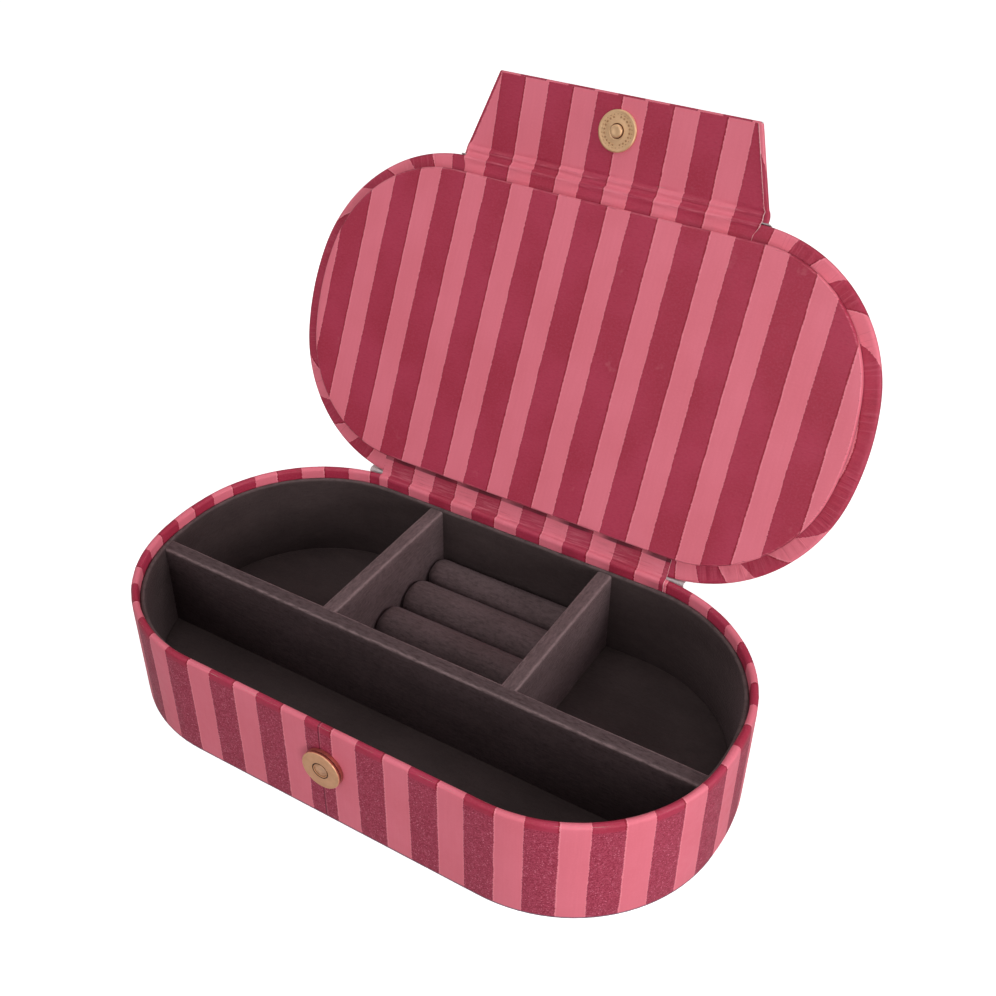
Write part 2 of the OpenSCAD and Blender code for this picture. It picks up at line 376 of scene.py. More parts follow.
class Paint:
    """A Principled material and the few nodes that are used over and over."""

    def __init__(self, name, **settings):
        self.mat = bpy.data.materials.new(name)
        self.mat.use_nodes = True
        self.tree = self.mat.node_tree
        self.shader = self.tree.nodes["Principled BSDF"]
        for key, value in settings.items():
            self.shader.inputs[key.replace("_", " ")].default_value = value

    def node(self, kind, **settings):
        """A new shader node, with its settings."""
        made = self.tree.nodes.new("ShaderNode" + kind)
        for key, value in settings.items():
            setattr(made, key, value)
        return made

    def feed(self, socket, value):
        """Links a socket to another node's output, or gives it a value."""
        if isinstance(value, bpy.types.NodeSocket):
            self.tree.links.new(value, socket)
        else:
            socket.default_value = value

    def math(self, operation, a, b=0.0):
        made = self.node("Math", operation=operation)
        self.feed(made.inputs[0], a)
        self.feed(made.inputs[1], b)
        return made.outputs[0]

    def plus(self, a, b):
        return self.math("ADD", a, b)

    def minus(self, a, b):
        return self.math("SUBTRACT", a, b)

    def times(self, a, b):
        return self.math("MULTIPLY", a, b)

    def near(self, value, middle, reach):
        """1 where a value is within reach of middle, and 0 elsewhere."""
        return self.math("LESS_THAN", self.math("ABSOLUTE", self.minus(value, middle)), reach)

    def jitter(self, vector, size, amount):
        """Noise round zero, with features of about a size in millimetres."""
        return self.times(self.minus(self.noise(vector, size, 1.0), 0.5), amount)

    def cloth(self):
        """The cloth's own coordinates: both together, along and across in millimetres, and a third value.

        The third is how much it glitters, is turned in, is creased or is worn, as each material says.
        Creases, worn edges and turned in gathers also carry painted highlight and shade, and below zero it is
        a painted shadow."""
        source = self.node("Attribute", attribute_name="cloth")
        parts = self.node("SeparateXYZ")
        self.feed(parts.inputs[0], source.outputs["Vector"])
        flat = self.node("CombineXYZ")
        self.feed(flat.inputs[0], parts.outputs[0])
        self.feed(flat.inputs[1], parts.outputs[1])
        return flat.outputs[0], parts.outputs[0], parts.outputs[1], parts.outputs[2]

    def place(self):
        """Object coordinates in millimetres."""
        made = self.node("VectorMath", operation="SCALE")
        self.feed(made.inputs[0], self.node("TexCoord").outputs["Object"])
        made.inputs["Scale"].default_value = 1 / MM
        return made.outputs[0]

    def stretched(self, vector, factors):
        """Coordinates scaled by axis. A factor below 1 draws a texture out along that axis."""
        made = self.node("VectorMath", operation="MULTIPLY")
        self.feed(made.inputs[0], vector)
        made.inputs[1].default_value = factors
        return made.outputs[0]

    def noise(self, vector, size, detail=2.0, rough=0.5):
        """Noise from 0 to 1 with features of about a size in millimetres."""
        made = self.node("TexNoise")
        self.feed(made.inputs["Vector"], vector)
        made.inputs["Scale"].default_value = 1 / size
        made.inputs["Detail"].default_value = detail
        made.inputs["Roughness"].default_value = rough
        return made.outputs["Fac"]

    def cells(self, vector, size, output="Distance"):
        """Cells of about a size in millimetres: the distance to their middles, or a colour for each."""
        made = self.node("TexVoronoi", feature="F1")
        self.feed(made.inputs["Vector"], vector)
        made.inputs["Scale"].default_value = 1 / size
        return made.outputs[output]

    def ramp(self, value, low, high, to_low=0.0, to_high=1.0):
        """A smooth step from to_low, where the value is low or less, to to_high."""
        made = self.node("MapRange", interpolation_type="SMOOTHSTEP")
        self.feed(made.inputs["Value"], value)
        for key, v in zip(("From Min", "From Max", "To Min", "To Max"), (low, high, to_low, to_high)):
            made.inputs[key].default_value = v
        return made.outputs[0]

    def mix(self, factor, a, b):
        made = self.node("Mix", data_type="RGBA")
        self.feed(made.inputs["Factor"], factor)
        self.feed(made.inputs[6], a)
        self.feed(made.inputs[7], b)
        return made.outputs[2]

    def finish(self, colour, roughness, height=None, depth=0.05, strength=0.5):
        """Colour, roughness and bump. depth is the bump's, in millimetres."""
        self.feed(self.shader.inputs["Base Color"], colour)
        self.feed(self.shader.inputs["Roughness"], roughness)
        if height is not None:
            bump = self.node("Bump")
            bump.inputs["Strength"].default_value = strength
            bump.inputs["Distance"].default_value = depth * MM
            self.feed(bump.inputs["Height"], height)
            self.feed(self.shader.inputs["Normal"], bump.outputs[0])
        return self.mat


PINK = srgb(226, 117, 134)
PINK_WARM = srgb(221, 111, 127)
PINK_LIGHT = srgb(238, 142, 156)
PINK_STREAK = srgb(212, 100, 119)
PINK_PRINT = srgb(231, 125, 141)
DARK = srgb(174, 50, 77)
DARK_DEEP = srgb(163, 40, 64)
DARK_PRINT = srgb(176, 64, 88)
DARK_THREAD = srgb(142, 32, 56)
FRINGE = srgb(142, 18, 44)
SPECK_LOW = srgb(134, 30, 54)
SPECK_HIGH = srgb(182, 76, 100)
SPECK_BRIGHT = srgb(206, 116, 136)
SPECK_DULL = srgb(146, 42, 66)
SEAM_GAP = srgb(104, 24, 46)
SEAM_LIP = srgb(226, 140, 154)
SCUFFED = srgb(222, 150, 158)
FOLD_RIDGE_HIGHLIGHT = srgb(192, 86, 108)
FOLD_CREASE_SHADE = srgb(150, 44, 66)
# Crease colours: wear with a painted highlight, painted shade in the crease, and a painted shadow
CREASE_WORN_AND_HIGHLIGHT = srgb(218, 130, 143)
CREASE_SHADE = srgb(118, 30, 50)
PAINTED_SHADOW = srgb(74, 16, 30)
PILE_WORN_AND_HIGHLIGHT = srgb(132, 111, 112)
PILE_SHEEN = srgb(190, 160, 164)


def stripes(p, flat, u, start, pitch, width):
    """Where the dark stripes are, the darker fringe inside their edges, and the pale lines beside them."""
    along = p.plus(p.plus(u, p.jitter(flat, 0.6, 0.9)), p.jitter(flat, 9.0, 0.5))
    where = p.times(p.math("FRACT", p.math("DIVIDE", p.minus(along, start), pitch)), pitch)
    dark = p.math("LESS_THAN", where, width)
    near_low = p.math("LESS_THAN", where, p.ramp(p.noise(flat, 1.6, 1.0), 0.3, 0.7, 0.1, 0.75))
    fringe = p.math("MAXIMUM", p.times(near_low, 0.3), p.near(where, width - 0.25, 0.25))
    before = p.times(p.math("GREATER_THAN", where, pitch - 0.3), 0.5)
    return dark, fringe, p.math("MAXIMUM", p.near(where, width + 0.28, 0.2), before)


def inks(p, flat, pale):
    """The two printed colours, each cloudy, with the print's fine marks."""
    cloudy = p.noise(flat, 30.0, 2.0)
    streaks = p.noise(p.stretched(flat, (1.0, 0.06, 1.0)), 0.9, 2.0)
    mesh_print = p.noise(flat, 0.75, 3.0, 0.7)
    threads = p.noise(p.stretched(flat, (0.25, 1.0, 1.0)), 0.5, 2.0, 0.6)
    pink = p.mix(p.ramp(cloudy, 0.3, 0.7), PINK, PINK_WARM)
    pink = p.mix(p.ramp(streaks, 0.3, 0.75, 0.0, 0.16), pink, PINK_STREAK)
    pink = p.mix(p.ramp(mesh_print, 0.45, 0.75, 0.0, 0.3), pink, PINK_PRINT)
    pink = p.mix(p.times(pale, 0.5), pink, PINK_LIGHT)
    red = p.mix(p.ramp(cloudy, 0.35, 0.65), DARK, DARK_DEEP)
    red = p.mix(p.ramp(mesh_print, 0.4, 0.75, 0.0, 0.55), red, DARK_PRINT)
    return pink, p.mix(p.ramp(threads, 0.45, 0.8, 0.0, 0.4), red, DARK_THREAD)


def glittered(p, flat, amount, red, fringe):
    """The dark colour with its glitter, which hides the fringe."""
    fade = p.ramp(p.plus(amount, p.jitter(flat, 1.2, 0.35)), 0.35, 0.65)
    dot = p.node("SeparateColor")
    p.feed(dot.inputs[0], p.cells(flat, 0.34, "Color"))
    specks = p.mix(p.ramp(dot.outputs[0], 0.1, 0.95), SPECK_LOW, SPECK_HIGH)
    bright = p.times(p.math("GREATER_THAN", dot.outputs[1], 0.95), p.ramp(amount, 0.8, 1.0))
    specks = p.mix(bright, specks, SPECK_BRIGHT)
    specks = p.mix(p.ramp(p.noise(flat, 0.9, 2.0), 0.4, 0.75, 0.0, 0.4), specks, SPECK_DULL)
    return p.mix(p.times(fade, 0.85), red, specks), p.times(fringe, p.minus(1.0, fade))


def seamed(p, u, colour):
    """The dark line of the covering's seam and the pale lip beside it."""
    colour = p.mix(p.times(p.near(u, SEAM_S, 0.26), 0.75), colour, SEAM_GAP)
    return p.mix(p.times(p.near(u, SEAM_S + 0.5, 0.2), 0.2), colour, SEAM_LIP)


def leather(p, flat):
    """The sheet's embossed grain: pores, grit and soft wrinkles."""
    grit = p.noise(flat, 0.4, 2.0)
    wrinkles = p.noise(p.stretched(flat, (0.5, 1.0, 1.0)), 5.0, 4.0, 0.6)
    height = p.plus(p.times(p.cells(flat, 0.8), 0.55), p.times(grit, 0.5))
    return p.plus(height, p.times(wrinkles, 1.6))


def gathers(p, u, v, turned_in):
    """Fine folds of the lid's sheet, which fan out where it's drawn in round the lid's two ends.

    Gives their height, their crease lines, which carry painted shade, the fine noise behind them, whose high
    parts get a painted highlight, and how much of them there is."""
    across = p.math("MAXIMUM", p.minus(p.math("ABSOLUTE", v), LID_W / 2 - CORNER_R), 0.0)
    across = p.times(across, p.math("SIGN", v))
    along = p.minus(p.math("ABSOLUTE", u), LID_L / 2 - CORNER_R)
    angle = p.math("ARCTAN2", across, p.math("MAXIMUM", along, 0.01))
    fan = p.node("CombineXYZ")
    p.feed(fan.inputs[0], p.times(angle, CORNER_R))
    p.feed(fan.inputs[1], p.math("SQRT", p.plus(p.times(across, across), p.times(along, along))))
    p.feed(fan.inputs[2], p.math("SIGN", u))
    amount = p.times(turned_in, p.ramp(along, 2.0, 16.0))
    drawn = p.stretched(fan.outputs[0], (1.0, 0.05, 9.0))
    fine = p.noise(drawn, 0.8, 2.0, 0.6)
    broad = p.noise(p.stretched(fan.outputs[0], (1.0, 0.04, 9.0)), 3.2, 1.0)
    line = p.math("ABSOLUTE", p.minus(p.noise(drawn, 5.0, 1.0), 0.5))
    line = p.ramp(line, 0.002, 0.014, 1.0, 0.0)
    height = p.minus(p.plus(p.times(fine, 3.0), p.times(broad, 3.0)), p.times(line, 1.5))
    return p.times(height, amount), p.times(line, amount), fine, amount


def creases_with_painted_light(p, flat, third, colour, height):
    """Lighter rubbed fibres on a crease, which are wear with a painted highlight, and dark fibres in it,
    which are painted shade. Where third is below zero, it gets a painted shadow.
    """
    crease = p.math("MAXIMUM", third, 0.0)
    rubbed_with_painted_light = p.noise(p.stretched(flat, (0.07, 1.0, 1.0)), 0.7, 3.0, 0.65)
    # Painted highlight and wear on the crease, painted shade in it, then a painted shadow where third is
    # below zero
    colour = p.mix(p.times(crease, p.ramp(rubbed_with_painted_light, 0.46, 0.66, 0.05, 0.5)), colour, CREASE_WORN_AND_HIGHLIGHT)
    colour = p.mix(p.times(crease, p.ramp(rubbed_with_painted_light, 0.3, 0.46, 0.5, 0.0)), colour, CREASE_SHADE)
    colour = p.mix(p.ramp(third, -0.9, -0.2, 0.85, 0.0), colour, PAINTED_SHADOW)
    return colour, p.plus(height, p.times(p.times(rubbed_with_painted_light, crease), 5.0))


def striped(name, start, pitch, width, glitter=False, grain=0.5, gathered=False, creased_with_painted_light=False):
    """Printed leatherette: pink and raspberry stripes with slightly ragged edges and a fine leather grain.

    start, pitch and width place the dark stripes along the cloth, in millimetres. The cloth's third value is
    the amount of glitter, of turned in sheet or of creases, whichever of the three this sheet has. The
    gathers of a turned in sheet and the creases get painted highlight and painted shade, and a crease value
    below zero gives a painted shadow."""
    p = Paint(name, Specular_IOR_Level=0.3)
    flat, u, v, third = p.cloth()
    dark, fringe, pale = stripes(p, flat, u, start, pitch, width)
    pink, red = inks(p, flat, pale)
    if glitter:
        red, fringe = glittered(p, flat, third, red, fringe)
    colour = p.mix(dark, pink, p.mix(p.times(fringe, 0.95), red, FRINGE))
    if glitter:
        colour = seamed(p, u, colour)
    scuff = p.ramp(p.noise(flat, 14.0, 4.0, 0.65), 0.64, 0.74, 0.0, 0.2)
    colour = p.mix(scuff, colour, p.mix(0.5, colour, SCUFFED))
    height = leather(p, flat)
    if gathered:
        folds, crease_shade_lines, fine, amount = gathers(p, u, v, third)
        height = p.plus(height, folds)
        # Painted highlight on the gathers' ridges and painted shade along their crease lines
        worn_with_painted_light = p.times(p.times(dark, amount), p.ramp(fine, 0.52, 0.66, 0.0, 0.32))
        colour = p.mix(worn_with_painted_light, colour, FOLD_RIDGE_HIGHLIGHT)
        colour = p.mix(p.times(crease_shade_lines, 0.2), colour, FOLD_CREASE_SHADE)
    # Painted highlight and shade on the creases, and a painted shadow where the third value is below zero
    if creased_with_painted_light:
        colour, height = creases_with_painted_light(p, flat, third, colour, height)
    rough = p.ramp(p.noise(flat, 3.0, 3.0), 0.25, 0.8, 0.42, 0.56)
    return p.finish(colour, rough, height, 0.06, grain)


def velvet(name, colour, light, worn_with_painted_light=0.0, grain=1.0):
    """Short velvet: brushed patches, a fine nap, and paler at an edge, where the pile is worn and a painted
    highlight stands for light catching it.

    worn_with_painted_light is how pale it gets there, and grain how uneven the pile is."""
    p = Paint(name, Sheen_Weight=0.22, Sheen_Roughness=0.4, Specular_IOR_Level=0.1)
    p.shader.inputs["Sheen Tint"].default_value = PILE_SHEEN
    place = p.place()
    brushed = p.noise(p.stretched(place, (0.6, 1.0, 1.6)), 16.0, 3.0, 0.6)
    nap = p.noise(p.stretched(place, (1.0, 1.0, 0.5)), 0.55, 2.0, 0.6)
    fine = p.noise(place, 0.22, 2.0)
    flat, _, _, edge = p.cloth()
    pile = p.noise(p.stretched(flat if worn_with_painted_light else place, (0.28, 1.0, 1.0)), 0.9, 3.0, 0.65)
    tufts = p.noise(place, 1.3, 3.0, 0.7)
    deep = tuple(0.55 * c for c in colour[:3]) + (1.0,)
    shade = p.mix(p.ramp(brushed, 0.3, 0.72, 0.1, 0.6), colour, light)
    shade = p.mix(p.ramp(pile, 0.5, 0.72, 0.0, 0.6 * grain), shade, light)
    shade = p.mix(p.ramp(pile, 0.28, 0.5, 0.55 * grain, 0.0), shade, deep)
    shade = p.mix(p.ramp(tufts, 0.3, 0.5, 0.4 * grain, 0.0), shade, deep)
    # Worn pile with a painted highlight along the edges
    if worn_with_painted_light:
        rubbed_with_painted_light = p.times(edge, p.ramp(pile, 0.3, 0.65, worn_with_painted_light * 0.4, worn_with_painted_light))
        shade = p.mix(rubbed_with_painted_light, shade, PILE_WORN_AND_HIGHLIGHT)
    height = p.plus(p.times(fine, 0.5), p.plus(nap, p.times(pile, 1.6)))
    return p.finish(shade, p.ramp(nap, 0.2, 0.8, 0.78, 0.95), height, 0.2, 0.7)


def brass(name, colour, deep, metal=0.5):
    """Plated metal with fine turning marks and a little handling wear."""
    p = Paint(name, Metallic=metal, Specular_IOR_Level=0.5)
    place = p.place()
    wear = p.noise(place, 3.0, 3.0, 0.5)
    fine = p.noise(place, 0.25, 2.0)
    shade = p.mix(p.ramp(wear, 0.3, 0.7), colour, deep)
    return p.finish(shade, p.ramp(fine, 0.2, 0.8, 0.33, 0.42), fine, 0.006, 0.25)


def board(name, colour, light):
    """Grey board: pressed paper fibres."""
    p = Paint(name, Specular_IOR_Level=0.2)
    place = p.place()
    fibres = p.noise(p.stretched(place, (0.35, 1.0, 1.0)), 1.4, 5.0, 0.7)
    shade = p.mix(p.ramp(fibres, 0.3, 0.7), colour, light)
    return p.finish(shade, p.ramp(fibres, 0.3, 0.7, 0.8, 0.95), fibres, 0.08, 0.5)


def foam(name):
    """Open cell foam."""
    p = Paint(name, Specular_IOR_Level=0.15)
    place = p.place()
    pores = p.cells(place, 0.7)
    shade = p.mix(p.ramp(pores, 0.2, 0.7), srgb(236, 233, 222), srgb(205, 200, 186))
    return p.finish(shade, p.ramp(pores, 0.2, 0.7, 0.85, 0.98), pores, 0.2, 0.6)


# Each sheet's dark stripes: where one starts, how far apart they are, and how wide they are
BASE_PRINT = (-6.98, 19.92, 10.4)
PANEL_STRIPES = striped("panel_stripes", -6.86, 19.83, 10.7, creased_with_painted_light=True)
LID_STRIPES = striped("lid_stripes", -5.7, 19.9, 10.5, gathered=True)
BASE_STRIPES = striped("base_stripes", *BASE_PRINT, glitter=True, grain=0.4)
FLAP_STRIPES = striped("flap_stripes", -49.86, 19.71, 10.15, creased_with_painted_light=True)
FLAP_BACK_STRIPES = striped("flap_back_stripes", -42.2, 19.8, 10.6)
HINGE_STRIPES = striped("hinge_stripes", -0.7, 20.0, 10.3, creased_with_painted_light=True)
OUTER_STRIPES = striped("outer_hinge_stripes", *BASE_PRINT)

# Each of these has its main colour and one that it wanders to
BACKING = board("sheet_backing", srgb(176, 164, 166), srgb(200, 190, 190))
RAW_EDGE = board("raw_edge", srgb(232, 212, 212), srgb(246, 236, 234))
BOTTOM_PAPER = board("bottom_paper", srgb(112, 88, 104), srgb(136, 110, 124))
# One velvet in four copies: the lining, floor and long divider are made darker as painted shade, the cross
# dividers and rolls lighter as painted light
VELVET_DEEP_SHADED = velvet("velvet", srgb(61, 50, 50), srgb(76, 63, 63), worn_with_painted_light=0.7, grain=0.4)
VELVET_LONG_SHADED = velvet("velvet_long_divider", srgb(61, 49, 50), srgb(80, 65, 67), worn_with_painted_light=1.0)
VELVET_CROSS_LIT = velvet("velvet_cross_dividers", srgb(82, 67, 68), srgb(106, 87, 89), worn_with_painted_light=1.0)
VELVET_ROLL_LIT = velvet("velvet_roll", srgb(87, 71, 72), srgb(108, 89, 91))
BRASS = brass("snap_brass_plating", srgb(226, 184, 142), srgb(216, 172, 130))
COPPER = brass("snap_copper_edge", srgb(186, 104, 92), srgb(160, 78, 72))
BRASS_CASE = brass("snap_case_plating", srgb(242, 184, 142), srgb(232, 172, 131))
# Darker plating for the flap snap's dots, and painted shade on the wall of the base snap's hole
BRASS_DOTS_AND_HOLE_SHADE = brass("snap_dots_and_hole_shade", srgb(186, 138, 98), srgb(170, 122, 84))
BRASS_PALE = brass("snap_middle_plating", srgb(224, 188, 160), srgb(212, 176, 148))
# Dark brown for the snaps' grooves and rings: painted shade
SNAP_PAINTED_SHADE = brass("snap_painted_shade", srgb(92, 44, 26), srgb(66, 30, 18), metal=0.3)
STEEL = brass("snap_steel_plating", srgb(190, 190, 192), srgb(165, 166, 170))
GREY_BOARD = board("grey_board", srgb(150, 142, 132), srgb(176, 168, 156))
FOAM = foam("foam")


# ------------------------------------------------------------------ base: covering and strips
# Rows up the wall, closer at its foot and below the rim
WALL_HEIGHTS = (0.55, 0.75, 1.2, 3, 6, 9, 12, 15, 18, 21, 24, 27, 30, 33, 35.5, 37.5, 39, 40.2, 41.0, RIM_Z)


def base_covering():
    """The striped sheet round the base: up the wall, over the rim and down inside. Its seam is in front."""
    at_seam = SEAM_S + np.array([-0.9, -0.5, -0.3, -0.15, 0, 0.15, 0.3, 0.5, 0.9])
    path = Oval(BASE_L, BASE_W, CORNER_R, 1.6, 1.4, at_seam)
    outside = [(0.0, z) for z in WALL_HEIGHTS]
    rim = arc((RIM_R, RIM_Z), RIM_R, 180, 0, 10)[1:]
    inside = [(2 * RIM_R, z) for z in (40.6, 39.4, 38.4, BASE_H - 5.3)]
    profile = outside + rim + inside
    way = distances(profile)
    bow = [1 - eased(inset, 0.2, 2 * RIM_R) for inset, _ in profile]
    points = path.rows(profile, bow=bow)
    rows = len(profile)
    s = np.tile(path.s, (rows, 1))
    heights = points[..., 2]
    is_wall = (np.arange(rows) < len(outside))[:, None]
    on_wall = is_wall * (1 - eased(heights, 39.0, 41.6))
    swell = 0.10 + 0.12 * waves(s, heights, 38.0, 3.1) + 0.05 * waves(s, heights, 9.0, 8.4)
    swell = np.maximum(swell, 0.0) * eased(heights, 0.5, 4.0) * on_wall
    groove = 0.05 * np.exp(-(((s - SEAM_S) / 0.24) ** 2)) * (heights > 0)
    crinkle = 0.10 * waves(s, heights, 9.0, 5.5) + 0.06 * waves(s * 3.0, heights, 4.0, 1.5)
    crinkle = crinkle * eased(heights, 40.0, 42.0) * (np.array([i for i, _ in profile]) < 2.2)[:, None]
    pushed(points, swell - groove + crinkle, path.normal.T)
    glitter = np.where(is_wall, 1 - eased(heights, 39.2, 41.4), 0.0)
    cloth = np.stack([s, np.tile(way[:, None], (1, len(path.s))), glitter], -1)
    obj = Shape().add(points, cloth, wrap_cols=True, turn=path.length).build("base_covering", closed=False)
    thickened(obj, SHEET_T)
    finish(obj, "base", [BASE_STRIPES], ["base_cover"])


def ribbon(name, half_left, half_right, profile, thickness, materials, shift, flip=False, rubbed_with_painted_light=None):
    """A strip along X whose cross-section is a line of (y, z) at rest. Also gives the line's length.

    shift moves its points by their place along X. rubbed_with_painted_light is each row's third cloth value:
    rubbed fibres with painted highlight and shade, or a painted shadow below zero."""
    count = 90
    profile = np.array(profile, float)
    x = np.linspace(-half_left, half_right, count)
    points = np.empty((len(profile), count, 3))
    points[..., 0] = x
    points[..., 1] = profile[:, :1]
    points[..., 2] = profile[:, 1:]
    points[..., 1:] += shift(points)
    way = distances(profile)
    cloth = np.zeros_like(points)
    cloth[..., 0] = x
    cloth[..., 1] = way[:, None]
    if rubbed_with_painted_light is not None:
        uneven = 0.75 + 0.6 * waves(points[..., 0], 0 * points[..., 0], 9.0, 6.2)
        cloth[..., 2] = np.array(rubbed_with_painted_light)[:, None] * uneven
    obj = Shape().add(points, cloth, flip=flip).build(name, closed=False)
    painted(obj, materials)
    thickened(obj, thickness, 1, 2)
    return obj, way[-1]


def lid_line(v, n):
    """A point (y, z) at rest on the lid: v from its rear edge to the front, n out of its inner face."""
    at = opened(np.array([0.0, LID_W / 2 - v, LID_Z - n]))
    return (at[1], at[2])


def on_base(firm, free, on_lid):
    """How much each row of a hinge strip belongs to the base: all, less and less, or not at all."""
    between = np.linspace(1, 0, free + 2)[1:-1]
    return np.concatenate([np.ones(firm), between, np.zeros(on_lid)])


def inner_hinge_strip():
    """One sheet glued inside the base's rim and under the lid's panel."""
    face = BASE_W / 2 - 2 * RIM_R - STRIP_T
    over = arc((BASE_W / 2 - RIM_R, RIM_Z), RIM_R + STRIP_T, 180, 75, 7)
    up = [(face, z) for z in (LINER_Z - 0.4, 39.6, 40.4, 41.1)]
    free = rounded([over[-1], (61.55, 43.5), (62.05, 44.5), lid_line(2.3, 0.3)], 2)[1:-1]
    glued = [(2.3, 0.3), (2.9, 0.3), (4.0, 0.26)] + [(v, STRIP_T) for v in (5.1, 5.9, 7.3, 10, 12.8)]
    on_lid = [lid_line(v, n) for v, n in glued]
    profile = np.array(up + over + [tuple(q) for q in free] + on_lid)
    weight = on_base(len(up) + len(over), len(free), len(on_lid))

    def follow(points):
        """Follows the rim where it curves, with a few waves over the gap."""
        bend = np.maximum(np.abs(points[..., 0]) - (BASE_L / 2 - CORNER_R), 0)
        radius = CORNER_R - 2 * RIM_R
        drop = radius - np.sqrt(radius**2 - bend**2)
        soft = 0.07 * waves(points[..., 0], points[..., 2], 11.0, 2.2) * (1 - np.abs(2 * weight - 1))[:, None]
        return np.stack([-drop * weight[:, None] + soft, soft], -1)

    cloths = [HINGE_STRIPES, BACKING, RAW_EDGE]
    # Painted shade on the part inside the wall, rubbed fibres with a painted highlight over the rim and
    # across the free fold, and a painted shadow under the panel's edge
    rubbed_with_painted_light = [-0.42] * len(up) + [-0.3] * 3 + [0.3] * (len(over) - 3) + [0.9] * len(free)
    rubbed_with_painted_light += [0.7, 0.6, 0.55, 0.3, -1.0, -1.0, -1.0, -1.0]
    obj, length = ribbon("inner_hinge_strip", 64.5, 61.2, profile, INNER_T, cloths, follow, rubbed_with_painted_light=rubbed_with_painted_light)
    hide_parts("inner_strip_base", "inner_strip_lid")
    anchor(lid_line(2.2, 0.28))
    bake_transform(obj)


def outer_hinge_strip():
    """One sheet glued to the back of the base and to the lid's rear edge, with a slack loop between."""
    back_y = BASE_W / 2 + STRIP_T
    wall = [(back_y, z) for z in np.linspace(23.0, 41.0, 10)]
    slack = [(62.05, 42.2), (62.02, 42.95), (62.25, 43.15), (62.45, 42.9), (62.6, 42.6), (63.05, 42.6)]
    loop = rounded([(back_y, 41.0), *slack], 2)
    edge_shut = [(LID_W / 2 + STRIP_T, 45.35), (LID_W / 2 + STRIP_T, LID_EDGE_Z)]
    edge_shut += arc((LID_W / 2 - LID_TOP_R, LID_EDGE_Z), LID_TOP_R + STRIP_T, 0, 50, 5)[1:]
    edge = [tuple(opened(np.array([0.0, y, z]))[1:]) for y, z in edge_shut]
    profile = np.array(wall + [tuple(q) for q in loop[1:-1]] + edge)
    weight = on_base(len(wall), len(loop) - 2, len(edge))
    lid_dir = opened(np.array([0.0, 1.0, 0.0])) - opened(np.array([0.0, 0.0, 0.0]))

    def follow(points):
        """Follows the back of the base and of the lid where they curve."""
        bend = np.maximum(np.abs(points[..., 0]) - (BASE_L / 2 - CORNER_R), 0)
        drop = CORNER_R - np.sqrt(CORNER_R**2 - bend**2)
        base_part = drop * weight[:, None]
        lid_part = drop * (1 - weight)[:, None] * 0.92
        return np.stack([-base_part - lid_part * lid_dir[1], -lid_part * lid_dir[2]], -1)

    cloths = [OUTER_STRIPES, BACKING, RAW_EDGE]
    obj, length = ribbon("outer_hinge_strip", 70.5, 68.0, profile, OUTER_T, cloths, follow, flip=True)
    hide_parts("outer_strip_base", "outer_strip_lid")
    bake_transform(obj)


# ------------------------------------------------------------------ base: lining, floor and dividers
def lining():
    """Velvet covered band round the inside of the wall, with a soft rolled top edge."""
    path = Oval(BASE_L, BASE_W, CORNER_R, 2.5, 2.0)
    top = arc((LINER_IN - LINER_R, LINER_Z - LINER_R), LINER_R, 0, 180, 8)
    inner = [(LINER_IN, z) for z in (FLOOR_Z + 0.1, 4.2, 5.5, 9, 13, 17, 21, 25, 29, 33, 35.5, 37.2)]
    outer = [(LINER_IN - 2 * LINER_R, 37.2)] + [(LINER_BACK, z) for z in (36.8, 20.0, FLOOR_Z + 0.1)]
    profile = inner + top + outer
    points = path.rows(profile)
    s = np.tile(path.s, (len(profile), 1))
    heights = points[..., 2]
    shown = (np.arange(len(profile)) < len(inner) + 4)[:, None]
    soft = 0.13 * waves(s, heights, 22.0, 1.7) * shown * eased(heights, 4.0, 9.0)
    pushed(points, soft, path.normal.T)
    cloth = np.zeros_like(points)
    cloth[..., 0] = s
    cloth[..., 1] = heights
    # Paler along the rolled top: wear with a painted highlight
    cloth[..., 2] = 0.55 * eased(heights, 38.2, 39.0)
    shape = Shape().add(points, cloth, wrap_rows=True, wrap_cols=True, turn=path.length, flip=True)
    finish(shape.build("velvet_lining"), "base", [VELVET_DEEP_SHADED], ["liner_wall"])


def slab(name, path, inset, low, high, radius, y=0.0, soft=0.0, size=20.0, seed=0.0, move=None, step=4.0):
    """A closed flat pad with rounded edges. soft is how far its top wanders, in waves of a size."""
    up = path.closing(inset + radius, high, step)[::-1]
    edge = arc((inset + radius, high - radius), radius, 90, 180, 4)[1:]
    under_radius = min(0.3, (high - low) / 4)
    down = [(inset, low + under_radius), (inset + under_radius, low)]
    profile = up + edge + down + path.closing(inset + radius, low, 2 * step)
    points = path.rows(profile, y)
    if soft:
        top = (np.arange(len(profile)) < len(up))[:, None]
        points[..., 2] += soft * waves(points[..., 0], points[..., 1], size, seed) * top
    if move:
        points = move(points)
    cloth = np.zeros_like(points)
    cloth[..., :2] = points[..., :2]
    return Shape().add(points, cloth, wrap_cols=True).build(name)


def floor():
    """The velvet pad on the floor."""
    path = Oval(BASE_L, BASE_W, CORNER_R, 4.0, 3.0)
    low = FLOOR_Z + 0.05
    obj = slab("velvet_floor", path, LINER_IN + 0.1, low, PAD_Z, 0.5, soft=0.16, size=17.0, seed=4.4)
    finish(obj, "base", [VELVET_DEEP_SHADED], ["floor_pad"])


